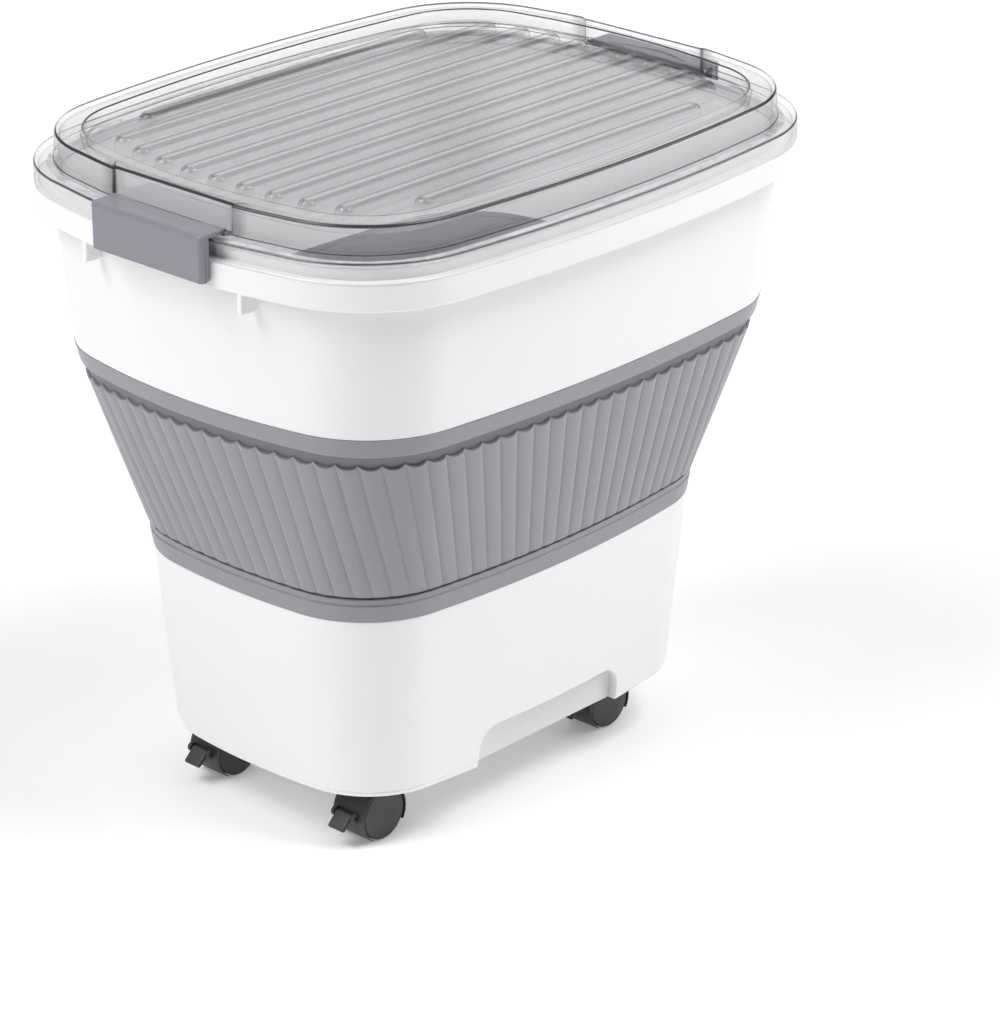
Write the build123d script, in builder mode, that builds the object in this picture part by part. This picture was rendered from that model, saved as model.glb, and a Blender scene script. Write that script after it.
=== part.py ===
from build123d import *

import os
from dataclasses import dataclass, replace
from math import atan2, cos, degrees, hypot, radians, sin, sqrt

# A collapsible food bin on casters: a white lower bin and a white upper frame joined by a folding grey wall,
# under a clear lid with two latches. Millimetres, +Z up, the floor at z = 0 and the bin's middle on the Z axis.
# X runs along the long sides and the lid's ribs, and the latches are on the two short ends.


@dataclass
class Level:
    """The outline of the bin at one height: half sizes, corner radius, and the radii its sides bow on."""

    height: float
    half_length: float
    half_width: float
    corner: float
    side_bow: float = 1000.0
    end_bow: float = 390.0


# Outlines of the walls, from the floor up
LOWER_SIDE_BOW = 700.0
FOOT = Level(36.5, 137.7, 95.9, 50.0, LOWER_SIDE_BOW)
BIN_TOP = Level(141.5, 147.3, 104.9, 57.0, LOWER_SIDE_BOW)
HINGE_LOW = Level(155.5, 149.1, 107.0, 58.0, LOWER_SIDE_BOW)
HINGE_HIGH = Level(249.0, 176.0, 132.9, 61.0)
FRAME_LOW = Level(259.5, 178.3, 135.4, 62.0)
RIM_TOP = Level(354.6, 187.2, 144.3, 67.0)
FLANGE = Level(334.0, 195.0, 151.5, 74.0)
DOME_FOOT = Level(360.0, 184.4, 141.8, 67.0)
DOME_TOP = Level(375.5, 183.4, 140.8, 66.0)
TRAY = Level(375.5, 167.8, 125.6, 51.0)

# Lower bin
BIN_WALL = 3.4
FOOT_LIP_HEIGHT = 2.0
FOOT_LIP_INSET = 1.2
FLOOR_HEIGHT = 64.0
FLOOR_THICKNESS = 3.0
UNDER_RIB_THICKNESS = 2.2
UNDER_RIB_DEPTH = 12.0
GRIP_HALF_LENGTH = 56.0
GRIP_TOP = 57.0
GRIP_CORNER = 13.0
GRIP_FACE = 87.3
GRIP_WALL = 2.6
GRIP_CUT_DEPTH = 15.0

# Folding wall and the collar at each of its ends
COLLAR_PROUD = 0.4
COLLAR_THICKNESS = 2.0
COLLAR_CAP = 3.0
COLLAR_BAND = 3.8
COLLAR_STEP = 0.6
BOND_GAP = 0.05
FOLD_THICKNESS = 2.0
FOLD_INSET = 1.3
FLUTE_COUNT = 88
FLUTE_INSET = 0.8
FLUTE_BULGE = 0.8
FLUTE_GAP_LOW = 1.5
FLUTE_GAP_HIGH = 6.0

# Upper frame
FRAME_WALL = 3.4
FLANGE_THICKNESS = 2.6
FLANGE_TOP = 348.0
FIN_OFFSET = 57.0
FIN_THICKNESS = 3.2
FIN_REACH = 190.5
FIN_LOW = 323.0
FIN_HIGH = 346.0
CHANNEL_RIB_THICKNESS = 2.0
CHANNEL_RIB_INSET = 1.0
CHANNEL_RIB_OFFSETS = (-105.0, -52.0, 0.0, 52.0, 105.0)

# Lid and its seal
LID_WALL = 2.4
LID_FLANGE_THICKNESS = 3.0
SKIRT_GAP = 0.3
EDGE_ROUND = 1.6
BROW_SHARE = 0.3
TRAY_DEPTH = 8.0
TRAY_DRAFT = 1.0
RIB_PITCH = 20.15
RIB_WIDTH = 11.0
RIB_HEIGHT = 5.0
RIB_ROUND = 4.0
RIB_HALF_LENGTHS = (154.0, 154.0, 153.0, 150.0, 144.0, 108.0)
PLUG_DEPTH = 6.0
PLUG_THICKNESS = 2.0
PLUG_CLEARANCE = 0.5
SEAL_GAP = 0.2
SEAL_OUTER = -0.6
SEAL_INNER = 3.6
RECESS_FACE = 179.3
RECESS_HALF_WIDTH = 42.8

# Latches and their pins
LATCH_HALF_WIDTH = 40.5
LATCH_FACE = 200.0
LATCH_PLATE = 3.0
LATCH_FOOT = 337.5
LATCH_TOP = 362.7
LATCH_LIP = 2.3
LATCH_ROUND = 2.6
SCOOP_HALF_WIDTH = 30.0
SCOOP_REACH = 5.0
SCOOP_DEPTH = 0.5
BARB_DEPTH = 1.5
BARB_LOW = 338.3
BARB_HIGH = 344.0
CHEEK_REACH = 193.6
CHEEK_THICKNESS = 2.6
HINGE_X = 183.2
HINGE_Z = 360.6
BARREL_RADIUS = 1.7
GROOVE_RADIUS = 2.1
PIN_RADIUS = 1.0
PIN_CLEARANCE = 0.05
LUG_RADIUS = 1.9
LUG_WIDTH = 2.6
LUG_CLEARANCE = 0.3

# Casters: a stem stands at each corner, and every wheel pair trails towards -X
STEM_X = 92.0
STEM_Y = 56.0
SOCKET_RADIUS = 9.0
SOCKET_TOP = 57.5
RUNNING_CLEARANCE = 0.06
STEM_RADIUS = 4.0
STEM_LOW = 28.5
STEM_HIGH = 56.0
STEM_COLLAR_RADIUS = 6.5
STEM_COLLAR_LOW = 33.1
STEM_COLLAR_HIGH = 34.1
RING_DEPTH = 0.5
RING_HEIGHT = 2.0
RING_LOW = 49.0
TRAIL = 11.0
WHEEL_RADIUS = 15.0
WHEEL_INNER = 3.0
WHEEL_OUTER = 12.0
WHEEL_ROUND = 1.2
WHEEL_DISH_RADIUS = 10.5
WHEEL_DISH_DEPTH = 0.6
AXLE_RADIUS = 2.0
AXLE_HALF_LENGTH = 10.5
AXLE_BOSS_RADIUS = 5.0
HOOD_INNER = 15.6
HOOD_OUTER = 17.0
HOOD_HALF_WIDTH = 11.6
HOOD_WEB = 2.6
HOOD_TOP = 33.0
HOOD_NECK_RADIUS = 7.5
HOOD_NECK_HEIGHT = 12.0
HOOD_OPENING = (235.0, 355.0)
HOOD_OPENING_REACH = 40.0
PEDAL_PIVOT = (-19.0, 3.0)
PEDAL_TIP = (-25.3, -2.6)
PEDAL_HALF_WIDTH = 5.75
PEDAL_THICKNESS = 2.4
PEDAL_BARREL_RADIUS = 1.7
TRUNNION_RADIUS = 1.1
TRUNNION_LENGTH = 1.8
EAR_RADIUS = 2.6
EAR_WIDTH = 2.2
EAR_GAP = 0.25


class Pillow(BaseSketchObject):
    """A rounded rectangle whose four sides bow outwards, as eight arcs that run into one another."""

    def __init__(self, level, inset=0.0, mode=Mode.ADD):
        length = level.half_length - inset
        width = level.half_width - inset
        corner = level.corner - inset
        side = level.side_bow - inset
        end = level.end_bow - inset
        # The corner's centre is a known distance from the centres of both bows.
        side_centre = Vector(0, width - side)
        end_centre = Vector(length - end, 0)
        apart = end_centre - side_centre
        along = ((side - corner) ** 2 - (end - corner) ** 2 + apart.length**2) / (2 * apart.length)
        across = sqrt((side - corner) ** 2 - along**2)
        forward = apart.normalized()
        centre = side_centre + forward * along + Vector(forward.Y, -forward.X) * across
        on_end = end_centre + (centre - end_centre).normalized() * end
        on_side = side_centre + (centre - side_centre).normalized() * side
        middle = centre + ((on_end - centre) + (on_side - centre)).normalized() * corner
        with BuildSketch() as outline:
            with BuildLine():
                ThreePointArc((on_end.X, -on_end.Y), (length, 0), (on_end.X, on_end.Y))
                ThreePointArc((on_end.X, on_end.Y), (middle.X, middle.Y), (on_side.X, on_side.Y))
                ThreePointArc((on_side.X, on_side.Y), (0, width), (-on_side.X, on_side.Y))
                ThreePointArc((-on_side.X, on_side.Y), (-middle.X, middle.Y), (-on_end.X, on_end.Y))
                ThreePointArc((-on_end.X, on_end.Y), (-length, 0), (-on_end.X, -on_end.Y))
                ThreePointArc((-on_end.X, -on_end.Y), (-middle.X, -middle.Y), (-on_side.X, -on_side.Y))
                ThreePointArc((-on_side.X, -on_side.Y), (0, -width), (on_side.X, -on_side.Y))
                ThreePointArc((on_side.X, -on_side.Y), (middle.X, -middle.Y), (on_end.X, -on_end.Y))
            make_face()
        super().__init__(obj=outline.sketch, mode=mode)


class Tapered(BasePartObject):
    """A block that tapers from one level of the bin to another, moved in by an inset at each."""

    def __init__(self, low, high, inset=0.0, top_inset=None, mode=Mode.ADD):
        with BuildPart() as block:
            with BuildSketch(Plane.XY.offset(low.height)):
                Pillow(low, inset)
            with BuildSketch(Plane.XY.offset(high.height)):
                Pillow(high, inset if top_inset is None else top_inset)
            loft(ruled=True)
        super().__init__(part=block.part, mode=mode)


class Crowned(BasePartObject):
    """A tapered block whose top edge is rounded over in two short slopes."""

    def __init__(self, low, high, rounding, mode=Mode.ADD):
        brow_inset = BROW_SHARE * rounding
        shoulder = between(low, high, high.height - rounding)
        brow = between(low, high, high.height - brow_inset)
        with BuildPart() as block:
            Tapered(low, shoulder)
            Tapered(shoulder, brow, 0.0, brow_inset)
            Tapered(brow, high, brow_inset, rounding)
        super().__init__(part=block.part, mode=mode)


class Fluted(BasePartObject):
    """A tapered block whose outside is a row of upright flutes."""

    def __init__(self, low, high, inset, count, bulge, mode=Mode.ADD):
        with BuildPart() as block:
            for level in (low, high):
                outline = Pillow(level, inset, mode=Mode.PRIVATE).wire()
                with BuildSketch(Plane.XY.offset(level.height)):
                    with BuildLine():
                        for flute in range(count):
                            crest = (flute + 0.5) / count
                            outward = (outline % crest).rotate(Axis.Z, -90)
                            ThreePointArc(
                                outline @ (flute / count),
                                outline @ crest + outward * bulge,
                                outline @ ((flute + 1) % count / count),
                            )
                    make_face()
            loft(ruled=True)
        super().__init__(part=block.part, mode=mode)


def between(low, high, height):
    """The level of a straight wall at a height on the line through two of its levels."""
    share = (height - low.height) / (high.height - low.height)
    return Level(
        height,
        low.half_length + share * (high.half_length - low.half_length),
        low.half_width + share * (high.half_width - low.half_width),
        low.corner + share * (high.corner - low.corner),
        low.side_bow + share * (high.side_bow - low.side_bow),
        low.end_bow + share * (high.end_bow - low.end_bow),
    )


def moved_to(level, height):
    """The same outline at another height."""
    return replace(level, height=height)


def polar(radius, angle):
    """A point by its distance and its direction in degrees."""
    return radius * cos(radians(angle)), radius * sin(radians(angle))


os.makedirs("parts", exist_ok=True)

# Levels and places that several pieces share
foot_edge = moved_to(FOOT, FOOT.height - FOOT_LIP_HEIGHT)
floor_top = between(FOOT, BIN_TOP, FLOOR_HEIGHT)
floor_under = between(FOOT, BIN_TOP, FLOOR_HEIGHT - FLOOR_THICKNESS)
bin_rim_top = between(BIN_TOP, HINGE_LOW, HINGE_LOW.height - COLLAR_CAP)
frame_rim_low = between(HINGE_HIGH, FRAME_LOW, HINGE_HIGH.height + COLLAR_CAP)
flange_deck = moved_to(FLANGE, FLANGE_TOP)
lid_flange_low = moved_to(FLANGE, DOME_FOOT.height - LID_FLANGE_THICKNESS)
lid_flange_high = moved_to(FLANGE, DOME_FOOT.height)
bin_inside = COLLAR_PROUD + BIN_WALL
frame_inside = COLLAR_PROUD + FRAME_WALL
stem_spots = {
    "near_left": (-STEM_X, -STEM_Y),
    "near_right": (STEM_X, -STEM_Y),
    "far_left": (-STEM_X, STEM_Y),
    "far_right": (STEM_X, STEM_Y),
}

# What stands under the floor of the lower bin: grip walls, caster sockets and stiffening ribs
with BuildPart() as under_floor:
    depth = floor_under.height - foot_edge.height
    upright = (Align.CENTER, Align.CENTER, Align.MIN)
    with Locations((0, 0, foot_edge.height)):
        Box(2 * (GRIP_HALF_LENGTH + GRIP_WALL), 2 * FOOT.half_width, depth, align=upright)
        Box(3 * GRIP_HALF_LENGTH, 2 * (GRIP_FACE - GRIP_WALL), depth, align=upright, mode=Mode.SUBTRACT)
    with Locations(*[(x, y, foot_edge.height) for x, y in stem_spots.values()]):
        Cylinder(SOCKET_RADIUS, depth, align=upright)
    with Locations(*[(0, y, floor_under.height - UNDER_RIB_DEPTH) for y in (-STEM_Y, STEM_Y)]):
        Box(2 * FOOT.half_length, UNDER_RIB_THICKNESS, UNDER_RIB_DEPTH, align=upright)
    with Locations(*[(x, 0, floor_under.height - UNDER_RIB_DEPTH) for x in (-STEM_X, 0, STEM_X)]):
        Box(UNDER_RIB_THICKNESS, 2 * FOOT.half_width, UNDER_RIB_DEPTH, align=upright)
    Tapered(foot_edge, floor_under, FOOT_LIP_INSET, COLLAR_PROUD, mode=Mode.INTERSECT)

# Lower bin: tapering walls on a raised floor, with a finger grip in each long side
with BuildPart() as base_bin:
    Tapered(foot_edge, FOOT, FOOT_LIP_INSET, COLLAR_PROUD)
    Tapered(FOOT, BIN_TOP, COLLAR_PROUD)
    Tapered(BIN_TOP, bin_rim_top, COLLAR_THICKNESS)
    Tapered(foot_edge, floor_under, bin_inside, mode=Mode.SUBTRACT)
    Tapered(floor_top, BIN_TOP, bin_inside, mode=Mode.SUBTRACT)
    Tapered(BIN_TOP, bin_rim_top, bin_inside, mode=Mode.SUBTRACT)
    add(under_floor.part)
    for side in (-1, 1):
        with BuildSketch(Plane.XZ.offset(side * GRIP_FACE)):
            with Locations((0, foot_edge.height)):
                RectangleRounded(2 * GRIP_HALF_LENGTH, 2 * (GRIP_TOP - foot_edge.height), GRIP_CORNER)
        extrude(amount=side * GRIP_CUT_DEPTH, mode=Mode.SUBTRACT)
    with Locations(*[(x, y, foot_edge.height) for x, y in stem_spots.values()]):
        Cylinder(
            STEM_RADIUS + RUNNING_CLEARANCE,
            SOCKET_TOP - foot_edge.height,
            align=(Align.CENTER, Align.CENTER, Align.MIN),
            mode=Mode.SUBTRACT,
        )
base_bin.part.label = "base_bin"
export_step(base_bin.part, "parts/base_bin.step")

# Lower collar: a grey band that wraps the bin's rim and carries the foot of the folding wall
with BuildPart() as lower_collar:
    band_foot = between(BIN_TOP, HINGE_LOW, HINGE_LOW.height - COLLAR_BAND)
    Tapered(BIN_TOP, band_foot)
    Tapered(band_foot, HINGE_LOW, COLLAR_STEP)
    Tapered(BIN_TOP, bin_rim_top, COLLAR_THICKNESS - BOND_GAP, mode=Mode.SUBTRACT)
    Tapered(bin_rim_top, HINGE_LOW, bin_inside, mode=Mode.SUBTRACT)
lower_collar.part.label = "lower_collar"
export_step(lower_collar.part, "parts/lower_collar.step")

# Folding wall: soft, fluted, and thinner than the collars
with BuildPart() as folding_wall:
    flute_foot = between(HINGE_LOW, HINGE_HIGH, HINGE_LOW.height + FLUTE_GAP_LOW)
    flute_head = between(HINGE_LOW, HINGE_HIGH, HINGE_HIGH.height - FLUTE_GAP_HIGH)
    Tapered(HINGE_LOW, HINGE_HIGH, FOLD_INSET)
    Fluted(flute_foot, flute_head, FLUTE_INSET, FLUTE_COUNT, FLUTE_BULGE)
    Tapered(HINGE_LOW, HINGE_HIGH, FOLD_INSET + FOLD_THICKNESS, mode=Mode.SUBTRACT)
folding_wall.part.label = "folding_wall"
export_step(folding_wall.part, "parts/folding_wall.step")

# Upper collar: the same band round the frame's lower rim
with BuildPart() as upper_collar:
    Tapered(HINGE_HIGH, FRAME_LOW)
    Tapered(frame_rim_low, FRAME_LOW, COLLAR_THICKNESS - BOND_GAP, mode=Mode.SUBTRACT)
    Tapered(HINGE_HIGH, frame_rim_low, frame_inside, mode=Mode.SUBTRACT)
upper_collar.part.label = "upper_collar"
export_step(upper_collar.part, "parts/upper_collar.step")

# The frame's flange: a deck with a lip that hangs from its edge, end fins, and ribs across the channel behind it
with BuildPart() as frame_flange:
    Tapered(FLANGE, flange_deck)
    Tapered(FLANGE, moved_to(FLANGE, FLANGE_TOP - FLANGE_THICKNESS), FLANGE_THICKNESS, mode=Mode.SUBTRACT)
    with Locations(*[(0, y, FIN_LOW) for y in (-FIN_OFFSET, FIN_OFFSET)]):
        Box(2 * FIN_REACH, FIN_THICKNESS, FIN_HIGH - FIN_LOW, align=(Align.CENTER, Align.CENTER, Align.MIN))

with BuildPart() as channel_ribs:
    with Locations(*[(x, 0, FLANGE.height) for x in CHANNEL_RIB_OFFSETS]):
        Box(
            CHANNEL_RIB_THICKNESS,
            2 * FLANGE.half_width,
            FLANGE_TOP - FLANGE.height,
            align=(Align.CENTER, Align.CENTER, Align.MIN),
        )
    Tapered(FLANGE, flange_deck, CHANNEL_RIB_INSET, mode=Mode.INTERSECT)

# Upper frame: a tapering wall whose rim stands up through the flange
with BuildPart() as upper_frame:
    Tapered(frame_rim_low, FRAME_LOW, COLLAR_THICKNESS)
    Tapered(FRAME_LOW, RIM_TOP, COLLAR_PROUD)
    add(frame_flange.part)
    add(channel_ribs.part)
    Tapered(frame_rim_low, FRAME_LOW, frame_inside, mode=Mode.SUBTRACT)
    Tapered(FRAME_LOW, RIM_TOP, frame_inside, mode=Mode.SUBTRACT)
upper_frame.part.label = "upper_frame"
export_step(upper_frame.part, "parts/upper_frame.step")

# The space under the lid's dome, which goes round the sunk tray and keeps a wall behind each latch recess
with BuildPart() as under_dome:
    ceiling = between(DOME_FOOT, DOME_TOP, DOME_TOP.height - LID_WALL)
    Tapered(DOME_FOOT, ceiling, LID_WALL)
    Tapered(
        moved_to(TRAY, TRAY.height - TRAY_DEPTH - LID_WALL),
        moved_to(TRAY, ceiling.height),
        TRAY_DRAFT - LID_WALL,
        -LID_WALL,
        mode=Mode.SUBTRACT,
    )
    for end in (-1, 1):
        with Locations((end * (RECESS_FACE - LID_WALL + DOME_FOOT.half_length / 2), 0, DOME_TOP.height)):
            Box(
                DOME_FOOT.half_length,
                2 * (RECESS_HALF_WIDTH + LID_WALL),
                4 * LID_WALL + DOME_TOP.height - DOME_FOOT.height,
                align=(Align.CENTER, Align.CENTER, Align.MAX),
                mode=Mode.SUBTRACT,
            )

# Lid: a skirted flange and plug under a low dome, with a ribbed tray sunk in its top
with BuildPart() as lid:
    plug_low = between(FRAME_LOW, RIM_TOP, lid_flange_low.height - PLUG_DEPTH)
    plug_outside = frame_inside + PLUG_CLEARANCE
    plug_inside = plug_outside + PLUG_THICKNESS
    skirt_low = moved_to(FLANGE, FLANGE_TOP + SKIRT_GAP)
    Crowned(skirt_low, lid_flange_high, EDGE_ROUND)
    Tapered(skirt_low, lid_flange_low, LID_WALL, mode=Mode.SUBTRACT)
    Tapered(plug_low, moved_to(plug_low, DOME_FOOT.height), plug_outside)
    Crowned(DOME_FOOT, DOME_TOP, EDGE_ROUND)
    Tapered(plug_low, moved_to(plug_low, DOME_FOOT.height), plug_inside, mode=Mode.SUBTRACT)
    add(under_dome.part, mode=Mode.SUBTRACT)
    Tapered(moved_to(TRAY, TRAY.height - TRAY_DEPTH), TRAY, TRAY_DRAFT, 0.0, mode=Mode.SUBTRACT)
    for end in (-1, 1):
        with Locations((end * RECESS_FACE, 0, DOME_FOOT.height)):
            Box(
                DOME_FOOT.half_length,
                2 * RECESS_HALF_WIDTH,
                DOME_TOP.height,
                align=(Align.MAX if end < 0 else Align.MIN, Align.CENTER, Align.MIN),
                mode=Mode.SUBTRACT,
            )
    with BuildSketch(Plane.XY.offset(TRAY.height - TRAY_DEPTH)):
        for row in range(1 - len(RIB_HALF_LENGTHS), len(RIB_HALF_LENGTHS)):
            with Locations((0, row * RIB_PITCH)):
                SlotOverall(2 * RIB_HALF_LENGTHS[abs(row)], RIB_WIDTH)
    ribs = extrude(amount=RIB_HEIGHT)
    fillet(ribs.faces().filter_by(Axis.Z).group_by(Axis.Z)[-1].edges(), RIB_ROUND)
    lug_middle = LATCH_HALF_WIDTH + LUG_CLEARANCE + LUG_WIDTH / 2
    for end in (-1, 1):
        with Locations((end * HINGE_X, 0, HINGE_Z)):
            Cylinder(
                GROOVE_RADIUS,
                2 * (LATCH_HALF_WIDTH + LUG_CLEARANCE),
                rotation=(90, 0, 0),
                mode=Mode.SUBTRACT,
            )
        with Locations(*[(end * HINGE_X, y, HINGE_Z) for y in (-lug_middle, lug_middle)]):
            Cylinder(LUG_RADIUS, LUG_WIDTH, rotation=(90, 0, 0))
            Cylinder(PIN_RADIUS, LUG_WIDTH, rotation=(90, 0, 0), mode=Mode.SUBTRACT)
lid.part.label = "lid"
export_step(lid.part, "parts/lid.step")

# Seal: a soft ring under the lid's flange, over the frame's rim
with BuildPart() as lid_seal:
    seal_low = moved_to(RIM_TOP, RIM_TOP.height + SEAL_GAP)
    seal_high = moved_to(RIM_TOP, lid_flange_low.height)
    Tapered(seal_low, seal_high, SEAL_OUTER)
    Tapered(seal_low, seal_high, SEAL_INNER, mode=Mode.SUBTRACT)
lid_seal.part.label = "lid_seal"
export_step(lid_seal.part, "parts/lid_seal.step")

# Latch: a lip that turns on a pin in the lid, a plate over the flange's edge, and a barb under it
with BuildPart() as latch_right:
    plate_back = LATCH_FACE - LATCH_PLATE
    with BuildSketch(Plane.XZ):
        with BuildLine():
            Polyline(
                (HINGE_X, LATCH_TOP),
                (LATCH_FACE, LATCH_TOP),
                (LATCH_FACE, LATCH_FOOT),
                (plate_back, LATCH_FOOT),
                (plate_back - BARB_DEPTH, BARB_LOW),
                (plate_back - BARB_DEPTH, BARB_HIGH),
                (plate_back, BARB_HIGH),
                (plate_back, LATCH_TOP - LATCH_LIP),
                (HINGE_X, LATCH_TOP - LATCH_LIP),
                close=True,
            )
        make_face()
    extrude(amount=LATCH_HALF_WIDTH, both=True)
    fillet(faces().sort_by(Axis.X)[-1].edges().sort_by(Axis.Z)[1:], LATCH_ROUND)
    cheek_middle = LATCH_HALF_WIDTH - CHEEK_THICKNESS / 2
    with Locations(*[(plate_back, y, LATCH_FOOT) for y in (-cheek_middle, cheek_middle)]):
        Box(
            plate_back - CHEEK_REACH,
            CHEEK_THICKNESS,
            LATCH_TOP - LATCH_LIP - LATCH_FOOT,
            align=(Align.MAX, Align.CENTER, Align.MIN),
        )
    with Locations((HINGE_X, 0, HINGE_Z)):
        Cylinder(BARREL_RADIUS, 2 * LATCH_HALF_WIDTH, rotation=(90, 0, 0))
        Cylinder(
            PIN_RADIUS + PIN_CLEARANCE,
            2 * LATCH_HALF_WIDTH,
            rotation=(90, 0, 0),
            mode=Mode.SUBTRACT,
        )
    with BuildSketch(Plane.XY.offset(LATCH_TOP)):
        with BuildLine():
            ThreePointArc(
                (HINGE_X - BARREL_RADIUS, SCOOP_HALF_WIDTH),
                (HINGE_X + SCOOP_REACH, 0),
                (HINGE_X - BARREL_RADIUS, -SCOOP_HALF_WIDTH),
            )
            Line((HINGE_X - BARREL_RADIUS, -SCOOP_HALF_WIDTH), (HINGE_X - BARREL_RADIUS, SCOOP_HALF_WIDTH))
        make_face()
    extrude(amount=-SCOOP_DEPTH, mode=Mode.SUBTRACT)
latch_right.part.label = "latch_right"
export_step(latch_right.part, "parts/latch_right.step")

with BuildPart() as latch_left:
    mirror(latch_right.part, about=Plane.YZ)
latch_left.part.label = "latch_left"
export_step(latch_left.part, "parts/latch_left.step")

# Latch pins: each runs through both lugs and the whole length of its latch
with BuildPart() as latch_pin_right:
    with Locations((HINGE_X, 0, HINGE_Z)):
        Cylinder(PIN_RADIUS, 2 * (LATCH_HALF_WIDTH + LUG_CLEARANCE + LUG_WIDTH), rotation=(90, 0, 0))
latch_pin_right.part.label = "latch_pin_right"
export_step(latch_pin_right.part, "parts/latch_pin_right.step")

with BuildPart() as latch_pin_left:
    mirror(latch_pin_right.part, about=Plane.YZ)
latch_pin_left.part.label = "latch_pin_left"
export_step(latch_pin_left.part, "parts/latch_pin_left.step")

# The pieces of one caster, round a stem on the Z axis
axle_plane = Plane(origin=(-TRAIL, 0, WHEEL_RADIUS), x_dir=(1, 0, 0), z_dir=(0, -1, 0))
pedal_spot = axle_plane.from_local_coords(Vector(*PEDAL_PIVOT))

with BuildPart() as stem:
    with Locations((0, 0, STEM_LOW)):
        Cylinder(STEM_RADIUS, STEM_HIGH - STEM_LOW, align=(Align.CENTER, Align.CENTER, Align.MIN))
    with Locations((0, 0, (STEM_COLLAR_LOW + STEM_COLLAR_HIGH) / 2)):
        Cylinder(STEM_COLLAR_RADIUS, STEM_COLLAR_HIGH - STEM_COLLAR_LOW)
    with Locations((0, 0, RING_LOW + RING_HEIGHT / 2)):
        Cylinder(STEM_RADIUS, RING_HEIGHT, mode=Mode.SUBTRACT)
        Cylinder(STEM_RADIUS - RING_DEPTH, RING_HEIGHT)

with BuildPart() as stem_ring:
    with Locations((0, 0, RING_LOW + RING_HEIGHT / 2)):
        Cylinder(STEM_RADIUS, RING_HEIGHT)
        Cylinder(STEM_RADIUS - RING_DEPTH, RING_HEIGHT, mode=Mode.SUBTRACT)

with BuildPart() as hood:
    with BuildSketch(axle_plane):
        Circle(HOOD_OUTER)
    extrude(amount=HOOD_HALF_WIDTH, both=True)
    with Locations((0, 0, HOOD_TOP)):
        Cylinder(HOOD_NECK_RADIUS, HOOD_NECK_HEIGHT, align=(Align.CENTER, Align.CENTER, Align.MAX))
    for side in (-1, 1):
        with BuildSketch(axle_plane.offset(side * HOOD_WEB)):
            Circle(HOOD_INNER)
        extrude(amount=side * HOOD_HALF_WIDTH, mode=Mode.SUBTRACT)
    with BuildSketch(axle_plane):
        with BuildLine():
            Polyline(
                (0, 0),
                polar(HOOD_OPENING_REACH, HOOD_OPENING[0]),
                polar(HOOD_OPENING_REACH, HOOD_OPENING[1]),
                close=True,
            )
        make_face()
    extrude(amount=HOOD_HALF_WIDTH, both=True, mode=Mode.SUBTRACT)
    with BuildSketch(axle_plane):
        Circle(AXLE_BOSS_RADIUS)
    extrude(amount=HOOD_WEB, both=True)
    with BuildSketch(axle_plane):
        Circle(AXLE_RADIUS)
    extrude(amount=HOOD_WEB, both=True, mode=Mode.SUBTRACT)
    ear_middle = PEDAL_HALF_WIDTH + EAR_GAP + EAR_WIDTH / 2
    with Locations(*[(pedal_spot.X, y, pedal_spot.Z) for y in (-ear_middle, ear_middle)]):
        Cylinder(EAR_RADIUS, EAR_WIDTH, rotation=(90, 0, 0))
        Cylinder(
            TRUNNION_RADIUS + RUNNING_CLEARANCE,
            EAR_WIDTH,
            rotation=(90, 0, 0),
            mode=Mode.SUBTRACT,
        )
    with Locations((0, 0, STEM_LOW)):
        Cylinder(
            STEM_RADIUS,
            HOOD_TOP - STEM_LOW,
            align=(Align.CENTER, Align.CENTER, Align.MIN),
            mode=Mode.SUBTRACT,
        )

with BuildPart() as axle:
    with BuildSketch(axle_plane):
        Circle(AXLE_RADIUS)
    extrude(amount=AXLE_HALF_LENGTH, both=True)

with BuildPart() as wheel_front:
    with BuildSketch(axle_plane.offset(WHEEL_INNER)):
        Circle(WHEEL_RADIUS)
    extrude(amount=WHEEL_OUTER - WHEEL_INNER)
    fillet(edges(), WHEEL_ROUND)
    with BuildSketch(axle_plane.offset(WHEEL_OUTER - WHEEL_DISH_DEPTH)):
        Circle(WHEEL_DISH_RADIUS)
    extrude(amount=WHEEL_DISH_DEPTH, mode=Mode.SUBTRACT)
    with BuildSketch(axle_plane.offset(WHEEL_INNER)):
        Circle(AXLE_RADIUS + RUNNING_CLEARANCE)
    extrude(amount=WHEEL_OUTER - WHEEL_INNER, mode=Mode.SUBTRACT)

with BuildPart() as wheel_back:
    mirror(wheel_front.part, about=Plane.XZ)

with BuildPart() as brake_pedal:
    reach = PEDAL_TIP[0] - PEDAL_PIVOT[0]
    drop = PEDAL_TIP[1] - PEDAL_PIVOT[1]
    with BuildSketch(axle_plane):
        with Locations((PEDAL_PIVOT[0] + reach / 2, PEDAL_PIVOT[1] + drop / 2)):
            SlotCenterToCenter(hypot(reach, drop), PEDAL_THICKNESS, rotation=degrees(atan2(drop, reach)))
        with Locations(PEDAL_PIVOT):
            Circle(PEDAL_BARREL_RADIUS)
    extrude(amount=PEDAL_HALF_WIDTH, both=True)
    with BuildSketch(axle_plane):
        with Locations(PEDAL_PIVOT):
            Circle(TRUNNION_RADIUS)
    extrude(amount=PEDAL_HALF_WIDTH + TRUNNION_LENGTH, both=True)

# The same caster at every stem
caster_pieces = {
    "stem": stem,
    "stem_ring": stem_ring,
    "hood": hood,
    "axle": axle,
    "wheel_front": wheel_front,
    "wheel_back": wheel_back,
    "brake_pedal": brake_pedal,
}
for corner, spot in stem_spots.items():
    for piece_name, piece in caster_pieces.items():
        with BuildPart() as placed:
            with Locations(spot):
                add(piece.part)
        placed.part.label = f"{piece_name}_{corner}"
        export_step(placed.part, f"parts/{piece_name}_{corner}.step")
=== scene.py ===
from dataclasses import astuple, dataclass, replace
from math import atan2, cos, pi, radians, sin, sqrt, tan

import bmesh
import bpy
from mathutils import Matrix, Vector


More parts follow.
